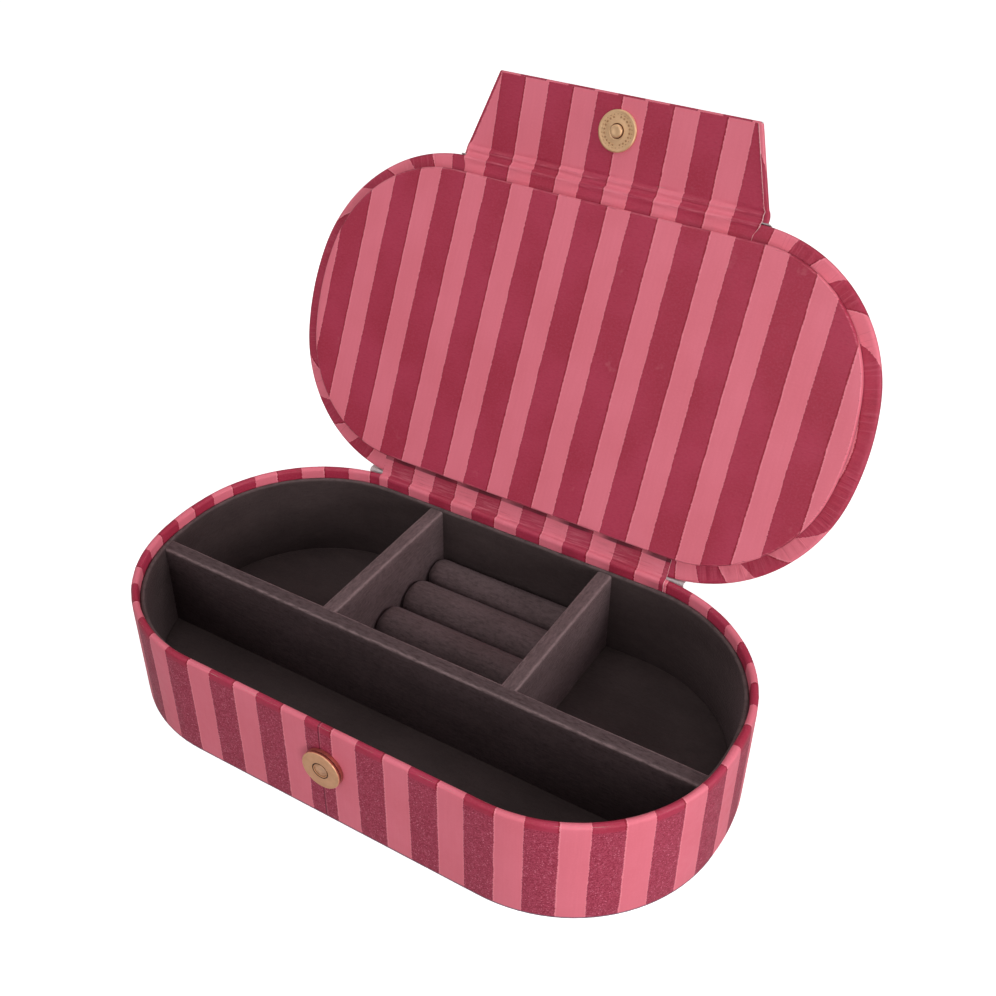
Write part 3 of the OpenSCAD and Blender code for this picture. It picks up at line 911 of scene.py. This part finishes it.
def bar(name, node, along, ends, width, centre, bottom, top, paint, radius=1.15, seed=0.0, count=70):
    """A velvet covered divider with softly rounded top edges.

    ends gives its two ends for a place across it. along is the axis it runs along."""
    side = width / 2
    right = [(side, bottom), (side, bottom + 6), (side, bottom + 16), (side, top - 8), (side, top - 3)]
    corner = arc((side - radius, top - radius), radius, 0, 90, 5)
    flat = [(side * 0.42, top), (side * 0.14, top)]
    half = right + corner + flat
    profile = np.array(half + [(-a, b) for a, b in half[::-1]])
    t = np.linspace(0, 1, count)
    points = np.empty((len(profile), count, 3))
    for row, (across, height) in enumerate(profile):
        low, high = ends(centre + across)
        length = low + (high - low) * t
        points[row, :, along] = length
        points[row, :, 1 - along] = centre + across
        points[row, :, 2] = height
    where = points[..., along]
    heights = points[..., 2]
    lean = 0.14 * waves(where, heights, 26.0, seed) + 0.05 * waves(where, heights, 7.0, seed + 3)
    points[..., 1 - along] += lean * eased(heights, bottom, bottom + 8)
    sag = 0.10 * waves(where, points[..., 1 - along], 12.0, seed + 7) - 0.06
    points[..., 2] += sag * eased(heights, top - 2, top)
    off_middle = np.abs(points[..., 1 - along] - centre) / side
    edge_line = np.exp(-(((off_middle - 0.86) / 0.13) ** 2))
    # Paler along the top edges: wear with a painted highlight
    worn_with_painted_light = eased(heights, top - 1.5, top - 0.4) * (0.22 + 0.78 * edge_line)
    way = distances(profile)
    cloth = np.stack([where, np.tile(way[:, None], (1, count)), worn_with_painted_light], -1)
    shape = Shape().add(points, cloth, wrap_rows=True)
    first_end = np.arange(len(profile)) * count
    shape.cap(first_end, flip=True)
    shape.cap(first_end + count - 1)
    finish(shape.build(name), "base", [paint], [node])


def dividers():
    """The long divider from wall to wall, and two cross dividers behind it."""
    inner_r = CORNER_R - LINER_IN
    cx, cy = BASE_L / 2 - CORNER_R, BASE_W / 2 - CORNER_R

    def wall_ends(y):
        """How far the long divider reaches to the left and right, just into the wall's lining."""
        reach = cx + math.sqrt(inner_r**2 - max(abs(y) - cy, 0) ** 2) + 0.5
        return -reach, reach

    mid = (DIVIDER_LOW[1] + DIVIDER_HIGH[1]) / 2
    width = DIVIDER_HIGH[1] - DIVIDER_LOW[1]
    top = DIVIDER_HIGH[2]
    long_one = ("divider_long", "long_divider", 0, wall_ends)
    bar(*long_one, width, mid, PAD_Z, top, VELVET_LONG_SHADED, seed=1.3, count=150)
    for name, node, low, high, seed in (
        ("divider_left", "left_divider", LEFT_LOW, LEFT_HIGH, 5.1),
        ("divider_right", "right_divider", RIGHT_LOW, RIGHT_HIGH, 9.6),
    ):
        reach = (DIVIDER_HIGH[1] - 1.3, high[1] + 0.2)  # into the long divider and to the lining
        mid = (low[0] + high[0]) / 2
        top = high[2] - 0.04
        bar(name, node, 1, lambda x, r=reach: r, high[0] - low[0], mid, PAD_Z, top, VELVET_CROSS_LIT, seed=seed)


# ------------------------------------------------------------------ base: ring rolls
ROLL_MARGIN = 0.5  # room that each roll is given to swell
BIG = 10.0  # how much larger than life the cloth simulation is
ROLL_CELL = 1.9  # spacing of its points
ROLL_STEPS = 20
ROLL_SWELL = 0.7  # the most that a point may move


def roll_shape(name, low, high):
    """A half round bar along X inside a CAD roll's box, a little smaller than it."""
    radius = (high[1] - low[1]) / 2 - ROLL_MARGIN
    top = high[2] - ROLL_MARGIN
    mid = (low[1] + high[1]) / 2
    section = [(-radius, low[2] + 0.1), (-radius, (low[2] + top - radius) / 2)]
    section += arc((0, top - radius), radius, 180, 0, 14)
    section += [(radius, (low[2] + top - radius) / 2), (radius, low[2] + 0.1)]
    section += [(radius * k, low[2] + 0.1) for k in (0.5, 0.0, -0.5)]
    section = np.array(section)
    section[:, 0] += mid
    centre = np.array([mid, (low[2] + top) / 2])
    x0, x1 = low[0] + 0.3, high[0] - 0.3
    stations = [(0.0, 0.80), (0.25, 0.92), (0.8, 0.985), (1.8, 1.0)]
    places = [(x0 + a, k) for a, k in stations]
    places += [(x, 1.0) for x in np.linspace(x0 + 3.5, x1 - 3.5, 24)]
    places += [(x1 - a, k) for a, k in stations[::-1]]
    points = np.empty((len(places), len(section), 3))
    for i, (x, k) in enumerate(places):
        points[i, :, 0] = x
        points[i, :, 1:] = centre + (section - centre) * k
        points[i, :, 2] = np.maximum(points[i, :, 2], low[2] + 0.1)
    cloth = np.zeros_like(points)
    shape = Shape().add(points, cloth, wrap_cols=True)
    for end in (points[0], points[-1]):
        fan = np.tile(end.mean(0), (2, len(section), 1))
        fan[0] = end
        shape.add(fan, np.zeros_like(fan), wrap_cols=True)
    return shape.build(name)


def swollen(obj, low, high):
    """Swells a roll by a short cloth simulation with air pressure, run on it at a larger size."""
    obj.data.transform(Matrix.Scale(BIG, 4))
    remesh = obj.modifiers.new("even", "REMESH")
    remesh.mode = "VOXEL"
    remesh.voxel_size = ROLL_CELL * BIG * MM
    applied(obj)
    start = np.array([v.co for v in obj.data.vertices])
    cloth = obj.modifiers.new("swell", "CLOTH")
    cloth.settings.quality = 6
    cloth.settings.mass = 0.3
    cloth.settings.use_pressure = True
    cloth.settings.uniform_pressure_force = 4.0
    cloth.settings.tension_stiffness = 30
    cloth.settings.compression_stiffness = 30
    cloth.settings.bending_stiffness = 2.0
    cloth.settings.effector_weights.gravity = 0.0
    cloth.point_cache.frame_start = 1
    cloth.point_cache.frame_end = ROLL_STEPS
    scene = bpy.context.scene
    for step in range(1, ROLL_STEPS + 1):
        scene.frame_set(step)
    applied(obj)
    scene.frame_set(1)
    now = np.array([v.co for v in obj.data.vertices])
    moved = now - start
    far = np.linalg.norm(moved, axis=1, keepdims=True)
    moved *= np.minimum(1.0, ROLL_SWELL * BIG * MM / np.maximum(far, 1e-9))
    now = (start + moved) / BIG
    now = np.clip(now, (low + 0.05) * MM, (high - 0.02) * MM)
    obj.data.vertices.foreach_set("co", now.ravel())
    obj.data.update()


def ring_rolls():
    """Four soft rolls side by side, as close as the CAD has them."""
    for number in range(1, 5):
        node = f"ring_roll_{number}"
        low, high = low_high(node)
        obj = roll_shape(f"velvet_roll_{number}", low, high)
        swollen(obj, low, high)
        fine = obj.modifiers.new("fine", "SUBSURF")
        fine.levels = 1
        fine.render_levels = 1
        applied(obj)
        points = np.array([v.co for v in obj.data.vertices]) / MM
        uneven = 0.10 * waves(points[:, 0], points[:, 1], 9.0, number * 3.7)
        points[:, 2] += uneven * eased(points[:, 2], low[2] + 2, high[2] - 3)
        points = np.clip(points, low + 0.02, high)
        obj.data.vertices.foreach_set("co", (points * MM).ravel())
        obj.data.update()
        smooth(obj, 60)
        finish(obj, "base", [VELVET_ROLL_LIT], [node])


# ------------------------------------------------------------------ lid
def lid_height(inset):
    """Height of the padded top at a distance in from its edge."""
    return LID_TOP - 0.3 * (1 - eased(inset, LID_TOP_R, 18.0))


def unrolled(points, path, way, outline):
    """Cloth coordinates of a sheet that lies flat up to its outline row and is folded down past it."""
    cloth = np.zeros_like(points)
    past = np.maximum(way - way[outline], 0)[:, None]
    start = points[outline]
    cloth[..., 0] = np.where(past > 0, start[:, 0] + path.normal[:, 0] * past, points[..., 0])
    cloth[..., 1] = np.where(past > 0, start[:, 1] + path.normal[:, 1] * past, points[..., 1])
    return cloth


def pleats(s, endward, seed, amount, spacing):
    """Fine radial folds where the outline faces the lid's ends, and the sheet is gathered."""
    rng = np.random.default_rng(seed)
    out = np.zeros_like(s)
    reach = s.max()
    place = -reach
    while place < reach:
        place += spacing * (0.5 + rng.random())
        wide = 0.45 + 0.5 * rng.random()
        out += amount * (0.3 + 0.9 * rng.random()) * np.exp(-(((s - place) / wide) ** 2))
    return out * eased(np.abs(endward), 0.05, 0.35)


def lid_covering():
    """The lid's striped sheet over its padding, round the edge and gathered in under it."""
    path = Oval(LID_L, LID_W, CORNER_R, 3.0, 0.6)
    top = path.closing(LID_TOP_R, lid_height, 5.0)[::-1]
    corner_z = lid_height(LID_TOP_R) - LID_TOP_R
    edge = arc((LID_TOP_R, corner_z), LID_TOP_R, 90, 180, 7)[1:]
    low = arc((LID_LOW_R, LID_Z + LID_LOW_R), LID_LOW_R, 180, 270, 6)
    under = [(i, LID_Z) for i in (1.9, 2.7, 3.7, 4.9, 6.3, 8.2, 10.2, TURN_IN)]
    profile = top + edge + low + under
    points = path.rows(profile)
    rows = len(profile)
    s = np.tile(path.s, (rows, 1))
    endward = np.tile(path.normal[:, 0], (rows, 1))
    cloth = unrolled(points, path, distances(profile), len(top) - 1)
    inset = np.array([i for i, _ in profile])[:, None]
    turned_in = (np.arange(rows) >= len(top) + len(edge) + 2)[:, None]
    folds = pleats(s, endward, 11, 0.16, 4.2) + pleats(s, endward, 5, 0.12, 1.7)
    gather = folds * turned_in * eased(inset, 0.4, 3.0) * (1 - eased(inset, 5.8, 6.6))
    puff = 0.10 * waves(s, inset + 0 * s, 14.0, 6.6) * turned_in
    puff *= eased(inset, 0.8, 3.0) * (1 - eased(inset, 5.0, 6.0))
    points[..., 2] += gather - np.abs(puff) * 0.4
    cloth[..., 2] = eased(np.arange(rows), len(top) + len(edge) - 2, len(top) + len(edge) + 3)[:, None]
    on_top = (np.arange(rows) < len(top))[:, None]
    dip = 0.12 * (1 + waves(points[..., 0], points[..., 1], 34.0, 2.9))
    points[..., 2] -= dip * on_top * eased(inset, 2, 12)
    shape = Shape().add(opened(points), cloth, wrap_cols=True, flip=True)
    obj = shape.build("lid_covering", closed=False)
    thickened(obj, SHEET_T)
    finish(obj, "lid", [LID_STRIPES], ["lid_cover"])

    path = Oval(LID_L, LID_W, CORNER_R, 6.0, 4.0)
    pad = slab("lid_padding", path, 0.45, LID_TOP - 2.18, LID_TOP - 0.95, 0.9, move=opened, step=8.0)
    finish(pad, "lid", [FOAM], ["lid_foam"])


def panel():
    """The raised inner panel's striped sheet and the foam under it."""
    path = Oval(PANEL_L, PANEL_W, PANEL_R, 2.5, 1.6)
    face = LID_Z - PANEL_H
    radius = 0.75
    flat = path.closing(radius, face, 3.0)[::-1]
    edge = arc((radius, face + radius), radius, 270, 180, 7)[1:]
    side = [(0.0, z) for z in (face + 1.3, face + 2.0, face + 2.6, LID_Z - STRIP_T - 0.02)]
    profile = flat + edge + side
    points = path.rows(profile, PANEL_Y)
    rows = len(profile)
    inset = np.array([i for i, _ in profile])[:, None]
    x, y = points[..., 0], points[..., 1]
    dish = 0.10 * (1 + waves(x, y, 40.0, 7.3)) + 0.04 * (1 + waves(x, y, 11.0, 3.8))
    points[..., 2] += dish * (np.arange(rows) < len(flat))[:, None] * eased(inset, radius, 6.0)
    cloth = unrolled(points, path, distances(profile), len(flat) - 1)
    # The edge rows get rubbed fibres with painted highlight and shade, and the foot rows a painted shadow
    cloth[len(flat) : len(flat) + 4, :, 2] = 0.9  # rubbed along the edge
    cloth[-3:, :, 2] = np.array([0.0, -0.5, -1.0])[:, None]  # and dark at the foot
    obj = Shape().add(opened(points), cloth, wrap_cols=True).build("panel_covering", closed=False)
    thickened(obj, SHEET_T)
    finish(obj, "lid", [PANEL_STRIPES], ["panel_cover"])

    path = Oval(PANEL_L, PANEL_W, PANEL_R, 6.0, 4.0)

    def under(points):
        """Turns the pad's soft side down, as the panel's face is."""
        mirrored = np.array(points)
        mirrored[..., 2] = 2 * (LID_Z - 2.1) - mirrored[..., 2]
        return opened(mirrored)

    pad = slab("panel_padding", path, 0.5, LID_Z - 2.62, LID_Z - 1.55, 0.8, y=PANEL_Y, move=under, step=8.0)
    finish(pad, "lid", [FOAM], ["panel_foam"])


# ------------------------------------------------------------------ flap
def flap_half(w):
    """Half the flap's width at a distance w from its hinge."""
    return FLAP_ROOT - FLAP_TAPER * w


def flap_line(w, out):
    """A point (y, z) at rest on the flap: w from its hinge, out towards its outer face."""
    at = flap_opened(np.array([0.0, FLAP_AXIS[0] - out, FLAP_AXIS[1] - w]))
    return (at[1], at[2])


def flap_sheet_points(profile, halves_left, halves_right, count):
    """Points of a sheet along X with its own half width on each row."""
    points = np.empty((len(profile), count, 3))
    t = np.linspace(-1, 1, count)
    for row, (y, z) in enumerate(profile):
        points[row, :, 0] = np.where(t < 0, t * halves_left[row], t * halves_right[row])
        points[row, :, 1] = y
        points[row, :, 2] = z
    return points


FOLD = (  # the lining's slack fold, from the lid's edge to the foot of the flap, as (v, n) on the lid
    (124.4, 0.27),
    (125.6, 0.36),
    (126.4, 0.62),
    (126.9, 0.78),
    (127.4, 0.76),
    (127.9, 0.45),
    (128.4, -0.1),
    (128.9, -0.62),
    (129.4, -0.86),
    (129.9, -0.78),
    (130.4, -0.56),
    (130.9, -0.52),
    (131.4, -0.78),
    (131.9, -1.16),
    (132.3, -1.28),
)


def flap_lining():
    """One sheet from under the panel over the fold and up the inside of the flap."""
    fold = [tuple(q) for q in rounded(FOLD, 1)]
    lid_rows = [(115.2, 0.25), (119, 0.25), (122, 0.25), (123.5, 0.25)] + fold
    flap_rows = [3.8, 4.4, 5, 7, 9, 11, 13, 15, 17, 19, 21, 23, 25, 27, 28.8, 30.1, 30.6]
    profile = [lid_line(v, n) for v, n in lid_rows] + [flap_line(w, FLAP_IN) for w in flap_rows]
    halves = []
    for start, margin in ((58.4, 1.25), (57.4, 1.35)):  # left and right, a little different
        widths = (start, 59.2, flap_half(2.6) - 1.2)
        half = [float(np.interp(v, (124, 127, 132.3), widths)) for v, _ in lid_rows]
        halves.append(half + [flap_half(w) - margin for w in flap_rows])
    left, right = halves
    points = flap_sheet_points(profile, left, right, 170)
    way = distances(profile)
    inward = np.array(lid_line(0, 1)) - np.array(lid_line(0, 0))
    x = points[..., 0]
    along = np.tile(way[:, None], (1, x.shape[1]))
    first, last = way[4], way[len(lid_rows)]
    free = eased(along, first, first + 2.0) * (1 - eased(along, last - 0.8, last + 1.2))
    lift = 0.22 * waves(x, along * 3, 15.0, 5.2) + 0.12 * waves(x, along * 4, 6.0, 8.8)
    lift += 0.09 * waves(x, along * 9, 9.0, 2.6)
    on_flap = eased(along, last, last + 2)
    lift = lift * free + 0.05 * (1 + waves(x, along, 16.0, 1.9)) * on_flap
    lift += 0.3 * eased(np.abs(x) - np.abs(x).max(1, keepdims=True), -1.2, 0.0) * free
    lift += 0.08 * eased(x - x.max(1, keepdims=True), -0.8, 0.0) * on_flap
    pushed(points, lift, inward, 1)
    # Rubbed fibres on the fold's two ridges: wear with a painted highlight, and painted shade
    ridges = [way[4 + np.argmin([abs(v - at) for v, _ in fold])] for at in (127.3, 130.5)]
    rubbed_with_painted_light = sum(np.exp(-(((along - ridge) / 0.8) ** 2)) for ridge in ridges)
    rubbed_with_painted_light = rubbed_with_painted_light * (0.7 + 0.5 * waves(x, 0 * x, 8.0, 3.3))
    cloth = np.stack([x, along, rubbed_with_painted_light], -1)
    # The flap's sides get the same crease colours, with their painted highlight and shade
    cloth[len(lid_rows) :, (0, -1), 2] = 1.6  # worn along the flap's sides
    obj = Shape().add(points, cloth).build("flap_lining_sheet", closed=False)
    painted(obj, [FLAP_STRIPES, BACKING, RAW_EDGE])
    thickened(obj, FLAP_LINING_T, 1, 2)
    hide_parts("flap_lining", "flap_strip_lid")
    anchor(lid_line(127.7, 0.3))
    anchor(flap_line(3.0, FLAP_IN))
    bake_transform(obj)


SIDE = (  # how the flap's covering goes round its sides: inset free, inset folded, share of the thickness
    (1.60, 1.60, 0.0),
    (1.30, 0.60, 0.0),
    (1.05, 0.26, 0.03),
    (0.80, 0.08, 0.13),
    (0.60, 0.00, 0.30),
    (0.45, 0.00, 0.70),
    (0.20, 0.08, 0.90),
    (0.00, 0.30, 1.0),
    (-0.45, 1.2, 1.0),
    (-0.90, 2.3, 1.0),
)
LIP_OUT = 1.03  # from the flap's hinge out to its covering's turned edges


def flap_side(half, depth, folded, turned_over):
    """Places (x, out) of one row's points round the flap's side. depth is how far in the sheet comes."""
    if turned_over:
        return [(half - 1.6 + 0.15 * index, 0.0) for index in range(len(SIDE))]
    side = []
    for free, fold, share in SIDE:
        side.append((half - (free * (1 - folded) + fold * folded), depth * share * folded))
    return side


def flap_covering():
    """Outer covering of the flap: glued to the lid's edge, a slack fold, the outer face, its turned edges."""
    shut = arc((-LID_W / 2 + LID_TOP_R, LID_EDGE_Z), LID_TOP_R + 0.32, 130, 180, 5)
    shut += [(-LID_W / 2 - 0.34, 45.4)]
    glued = [tuple(opened(np.array([0.0, y, z]))[1:]) for y, z in shut]
    bulge = ((128.5, -2.1), (129.0, -3.1), (130.1, -4.1), (131.4, -4.25), (132.3, -3.8))
    slack = [lid_line(v, n) for v, n in bulge]
    slack = [tuple(q) for q in rounded([glued[-1], *slack, flap_line(3.4, FLAP_OUT)], 2)[1:-1]]
    outer = [(w, FLAP_OUT) for w in (3.4, 4.2, 6, 9, 12, 15, 18, 21, 24, 27, 29.5, 30.6)]
    outer += [(30.95, 3.12), (31.13, 2.9), (FLAP_L, 2.5), (FLAP_L, 1.75), (31.12, 1.3)]
    outer += [(30.95, 1.05), (30.6, 0.97), (30.0, 0.97)]
    front = glued + slack
    profile = front + [flap_line(w, o) for w, o in outer]
    places = [3.0] * len(front) + [w for w, _ in outer]
    loose = np.interp(np.arange(len(profile)), (0, len(glued) - 1, len(front) - 1), (1.0, 1.0, 0.0))
    folded = 1 - eased(loose, 0.75, 1.0)
    out_dir = np.array(flap_line(0, 1)) - np.array(flap_line(0, 0))
    outs = [float((np.array(q) - flap_line(0, 0)) @ out_dir) for q in profile]
    turned_over = [False] * len(front) + [w > 30.9 or o < 3.0 for w, o in outer]
    count = 90
    rows = []
    for row, (y, z) in enumerate(profile):
        half = flap_half(places[row]) + 1.3 * loose[row]
        side = np.array(flap_side(half, LIP_OUT - outs[row], folded[row], turned_over[row]))
        middle = np.linspace(-(half - 1.9), half - 1.9, count)
        across = np.concatenate([-side[::-1, 0], middle, side[:, 0]])
        out = np.concatenate([side[::-1, 1], np.zeros(count), side[:, 1]])
        rows.append(np.column_stack([across, y + out * out_dir[0], z + out * out_dir[1]]))
    points = np.array(rows)
    way = distances(profile)
    x = points[..., 0]
    along = np.tile(way[:, None], (1, x.shape[1]))
    start, stop = way[len(glued) - 1], way[len(front)]
    free = eased(along, start, start + 1.5) * (1 - eased(along, stop - 0.5, stop + 2))
    lift = (0.3 * waves(x, along * 2, 14.0, 4.4) + 0.12 * waves(x, along * 4, 5.0, 1.4)) * free
    pushed(points, lift, out_dir, 1)
    round_side = distances([(-inset, 2.1 * share) for _, inset, share in SIDE])
    cloth = np.stack([x, along, 0 * x], -1)
    cloth[:, : len(SIDE), 0] = x[:, len(SIDE) : len(SIDE) + 1] - round_side[::-1]
    cloth[:, -len(SIDE) :, 0] = x[:, -len(SIDE) - 1 : -len(SIDE)] + round_side
    obj = Shape().add(points, cloth, flip=True).build("flap_covering", merge=False, closed=False)
    painted(obj, [FLAP_BACK_STRIPES, BACKING, RAW_EDGE])
    thickened(obj, FLAP_COVER_T, 1, 2)
    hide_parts("flap_cover")
    anchor(lid_line(128.5, -1.8))
    anchor(flap_line(3.3, FLAP_OUT))
    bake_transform(obj)


# ------------------------------------------------------------------ snap
SNAP_SEGMENTS = 96


def lathe(shape, profile, y0, place, slot=0, sign=1.0):
    """Turns a profile of (radius, depth) about the snap's axis, which runs along Y."""
    angles = np.linspace(0, 2 * math.pi, SNAP_SEGMENTS, endpoint=False)
    points = np.empty((len(profile), SNAP_SEGMENTS, 3))
    for row, (radius, depth) in enumerate(profile):
        points[row, :, 0] = radius * np.cos(angles)
        points[row, :, 1] = y0 + sign * depth
        points[row, :, 2] = SNAP_Z + radius * np.sin(angles)
    shape.add(place(points), np.zeros_like(points), wrap_cols=True, slot=slot)


def from_rim(*points):
    """Profile points given as (inset from the snap's rim, depth)."""
    return [(SNAP_R - inset, depth) for inset, depth in points]


def dots(shape, radius, count, size, y0, skip=()):
    """A ring of small raised dots on the flap's snap."""
    for index in range(count):
        if index in skip:
            continue
        angle = 2 * math.pi * index / count
        rows = []
        for lift, k in ((-0.1, 1.0), (0.1, 0.9), (0.18, 0.5), (0.2, 0.0)):
            a = np.linspace(0, 2 * math.pi, 10, endpoint=False)
            x = radius * math.cos(angle) + size * k * np.cos(a)
            z = SNAP_Z + radius * math.sin(angle) + size * k * np.sin(a)
            rows.append(np.column_stack([x, np.full(10, y0 + lift), z]))
        rows.insert(0, np.tile(rows[0].mean(0), (10, 1)))
        points = flap_opened(np.array(rows))
        shape.add(points, np.zeros_like(points), wrap_cols=True, slot=2)


def base_snap():
    """The case of the base's half: a copper side, a brass face and a hole for the stud."""
    side = from_rim((SNAP_R, 0.02), (0.35, 0.02), (0.05, 0.2), (0.0, 0.5), (0.0, 1.35), (0.2, 1.45))
    groove = from_rim((0.2, 1.45), (0.3, 1.5), (0.3, 1.68), (0.05, 1.78))
    edge = from_rim((0.05, 1.78), (0.0, 1.86), (0.0, 2.3))
    face = from_rim((0.0, 2.3), (0.0, 2.48), (0.1, 2.64), (0.28, 2.7), (0.6, 2.7), (0.75, 2.66))
    face += from_rim((0.95, 2.66), (1.1, 2.69))
    face.append((3.2, 2.69))
    ring = [(3.2, 2.69), (3.1, 2.4), (2.84, 2.4), (2.76, 2.7)]
    lip = [(2.76, 2.7), (2.66, 2.76), (2.52, 2.74), (2.44, 2.6)]
    # The hole's wall gets the darker plating as painted shade
    hole = [(2.44, 2.6), (2.4, 2.35)]
    middle = [(2.4, 2.35), (2.38, 1.8), (2.25, 1.6), (2.0, 1.6), (1.8, 1.66), (0.0, 1.66)]
    # The groove and the ring round the hole get painted shade
    parts = ((side, 1), (groove, 2), (edge, 1), (face, 0), (ring, 2), (lip, 0), (hole, 3), (middle, 4))
    shape = Shape()
    for part, slot in parts:
        lathe(shape, part, -BASE_W / 2, lambda q: q, slot=slot, sign=-1)
    obj = shape.build("snap_female", sharp=50)
    plating = [BRASS_CASE, COPPER, SNAP_PAINTED_SHADE, BRASS_DOTS_AND_HOLE_SHADE, BRASS_PALE]
    finish(obj, "base", plating, ["base_snap_case"])


def flap_snap():
    """The flap's half: a disc with rings of dots and a centre stud."""
    y0 = FLAP_AXIS[0] - FLAP_IN
    disc = from_rim((SNAP_R, 0.0), (0.3, 0.0), (0.05, 0.15), (0.0, 0.4), (0.0, 0.75), (0.15, 0.98))
    disc += from_rim((0.45, 1.1), (0.75, 1.07))
    disc += [(6.45, 1.04), (3.5, 1.04), (3.1, 1.1), (2.8, 1.1), (2.68, 1.04)]
    foot = [(2.68, 1.04), (2.5, 0.98), (2.36, 0.98), (2.3, 1.15)]
    stud = [(2.3, 1.15), (2.3, 1.85), (2.2, 2.08), (1.9, 2.2), (1.2, 2.2), (0.9, 2.14), (0.0, 2.12)]
    shape = Shape()
    # The foot round the stud gets painted shade
    for part, slot in ((disc, 0), (foot, 1), (stud, 0)):
        lathe(shape, part, y0, flap_opened, slot=slot)
    dots(shape, 4.9, 22, 0.42, y0 + 1.04, skip=(5, 16))
    dots(shape, 5.8, 26, 0.22, y0 + 1.04)
    obj = shape.build("snap_male", sharp=50)
    finish(obj, "flap", [BRASS, SNAP_PAINTED_SHADE, BRASS_DOTS_AND_HOLE_SHADE], ["flap_snap_disc"])


# ------------------------------------------------------------------ build it all
base_covering()
lining()
floor()
dividers()
ring_rolls()
lid_covering()
panel()
inner_hinge_strip()
outer_hinge_strip()
flap_lining()
flap_covering()
base_snap()
flap_snap()

CAD_MATERIALS = {
    "bottom_sheet": BOTTOM_PAPER,
    "base_floor": GREY_BOARD,
    "base_wall": GREY_BOARD,
    "ring_tray": VELVET_ROLL_LIT,
    "base_snap_magnet": STEEL,
    "base_snap_prongs": STEEL,
    "base_snap_washer": STEEL,
    "lid_board": GREY_BOARD,
    "panel_board": GREY_BOARD,
    "flap_board": GREY_BOARD,
    "flap_snap_prongs": STEEL,
    "flap_snap_washer": STEEL,
}
for node, paint in CAD_MATERIALS.items():
    kept = frame["nodes"][node]
    kept.data.materials.clear()
    kept.data.materials.append(paint)


# ------------------------------------------------------------------ floor, light and camera
# Radius and height in metres of the backdrop round the floor
COVE = ((12.0, -0.001), (14.0, 0.3), (15.6, 1.2), (16.6, 2.8), (17.0, 5.0), (17.0, 20.0))


def seen_only(obj):
    """Keeps the floor's own light off the object."""
    obj.visible_diffuse = False
    obj.visible_glossy = False


def stage_floor():
    """White floor and, for low views, a wide cove far behind it."""
    paint = Paint("studio_floor", Specular_IOR_Level=0.1)
    place = paint.place()
    speckle = paint.noise(place, 40.0, 3.0)
    shade = paint.mix(speckle, srgb(225, 225, 225), srgb(229, 229, 229))
    paint.shader.inputs["Emission Color"].default_value = (1, 1, 1, 1)
    paint.shader.inputs["Emission Strength"].default_value = 0.75
    mat = paint.finish(shade, 0.9)
    mesh = bpy.data.meshes.new("floor")
    size = COVE[0][0]
    corners = [(-size, -size, 0), (size, -size, 0), (size, size, 0), (-size, size, 0)]
    mesh.from_pydata(corners, [], [(0, 1, 2, 3)])
    obj = bpy.data.objects.new("studio_floor", mesh)
    obj.location.z = -0.0002
    bpy.context.scene.collection.objects.link(obj)
    obj.data.materials.append(mat)
    seen_only(obj)

    turn = np.linspace(0, 2 * math.pi, 96, endpoint=False)
    rings = [np.column_stack([r * np.cos(turn), r * np.sin(turn), np.full(96, z)]) for r, z in COVE]
    points = np.array(rings) / MM
    cove = Shape().add(points, np.zeros_like(points), wrap_cols=True).build("studio_backdrop", closed=False)
    cove.data.materials.append(mat)
    seen_only(cove)
    cove.visible_shadow = False


LIGHTS = (  # name, place, what it points at, size in metres, power in watts
    ("key", (1.0, 0.05, 0.45), (0, 0, 0.05), (0.4, 0.4), 5.7),
    ("low_right", (0.5, -0.5, 0.12), (0.03, -0.05, 0.03), (0.3, 0.15), 1.5),
    ("front", (0.1, -1.5, 0.9), (0, 0, 0.06), (1.4, 0.8), 8.4),
    ("left", (-1.1, -0.5, 0.8), (0, 0, 0.05), (0.9, 0.8), 2.3),
    ("top", (-0.1, 0.1, 1.8), (0, 0, 0), (1.6, 1.2), 10.6),
)


def area_light(name, place, target, size, power):
    """A rectangular lamp that points at a target."""
    light = bpy.data.lights.new(name, "AREA")
    light.shape = "RECTANGLE"
    light.size, light.size_y = size
    light.energy = power
    obj = bpy.data.objects.new(name, light)
    obj.location = place
    obj.rotation_euler = (Vector(target) - Vector(place)).to_track_quat("-Z", "Y").to_euler()
    bpy.context.scene.collection.objects.link(obj)


def studio_world():
    """Dim light from all round, a little brighter from below, as off a white table."""
    world = bpy.data.worlds.new("studio")
    world.use_nodes = True
    tree = world.node_tree
    height = tree.nodes.new("ShaderNodeSeparateXYZ")
    tree.links.new(tree.nodes.new("ShaderNodeTexCoord").outputs["Generated"], height.inputs[0])
    fade = tree.nodes.new("ShaderNodeMapRange")
    tree.links.new(height.outputs[2], fade.inputs["Value"])
    for key, value in zip(("From Min", "From Max", "To Min", "To Max"), (-0.15, 0.15, 0.34, 0.14)):
        fade.inputs[key].default_value = value
    tree.links.new(fade.outputs[0], tree.nodes["Background"].inputs["Strength"])
    tree.nodes["Background"].inputs["Color"].default_value = (1, 1, 1, 1)
    bpy.context.scene.world = world


CAMERA_PLACE = (184.32, -264.945, 329.70)
CAMERA_TURN = (53.8046, -0.5924, 31.2229)  # degrees
CAMERA_LENS = 44.544


def camera():
    """The photo's viewpoint."""
    data = bpy.data.cameras.new("camera")
    data.sensor_width = 36.0
    data.lens = CAMERA_LENS
    data.clip_start = 0.01
    obj = bpy.data.objects.new("camera", data)
    obj.location = Vector(CAMERA_PLACE) * MM
    obj.rotation_euler = [math.radians(angle) for angle in CAMERA_TURN]
    bpy.context.scene.collection.objects.link(obj)
    bpy.context.scene.camera = obj


stage_floor()
for setting in LIGHTS:
    area_light(*setting)
camera()
studio_world()
bpy.context.scene.view_settings.view_transform = "Standard"
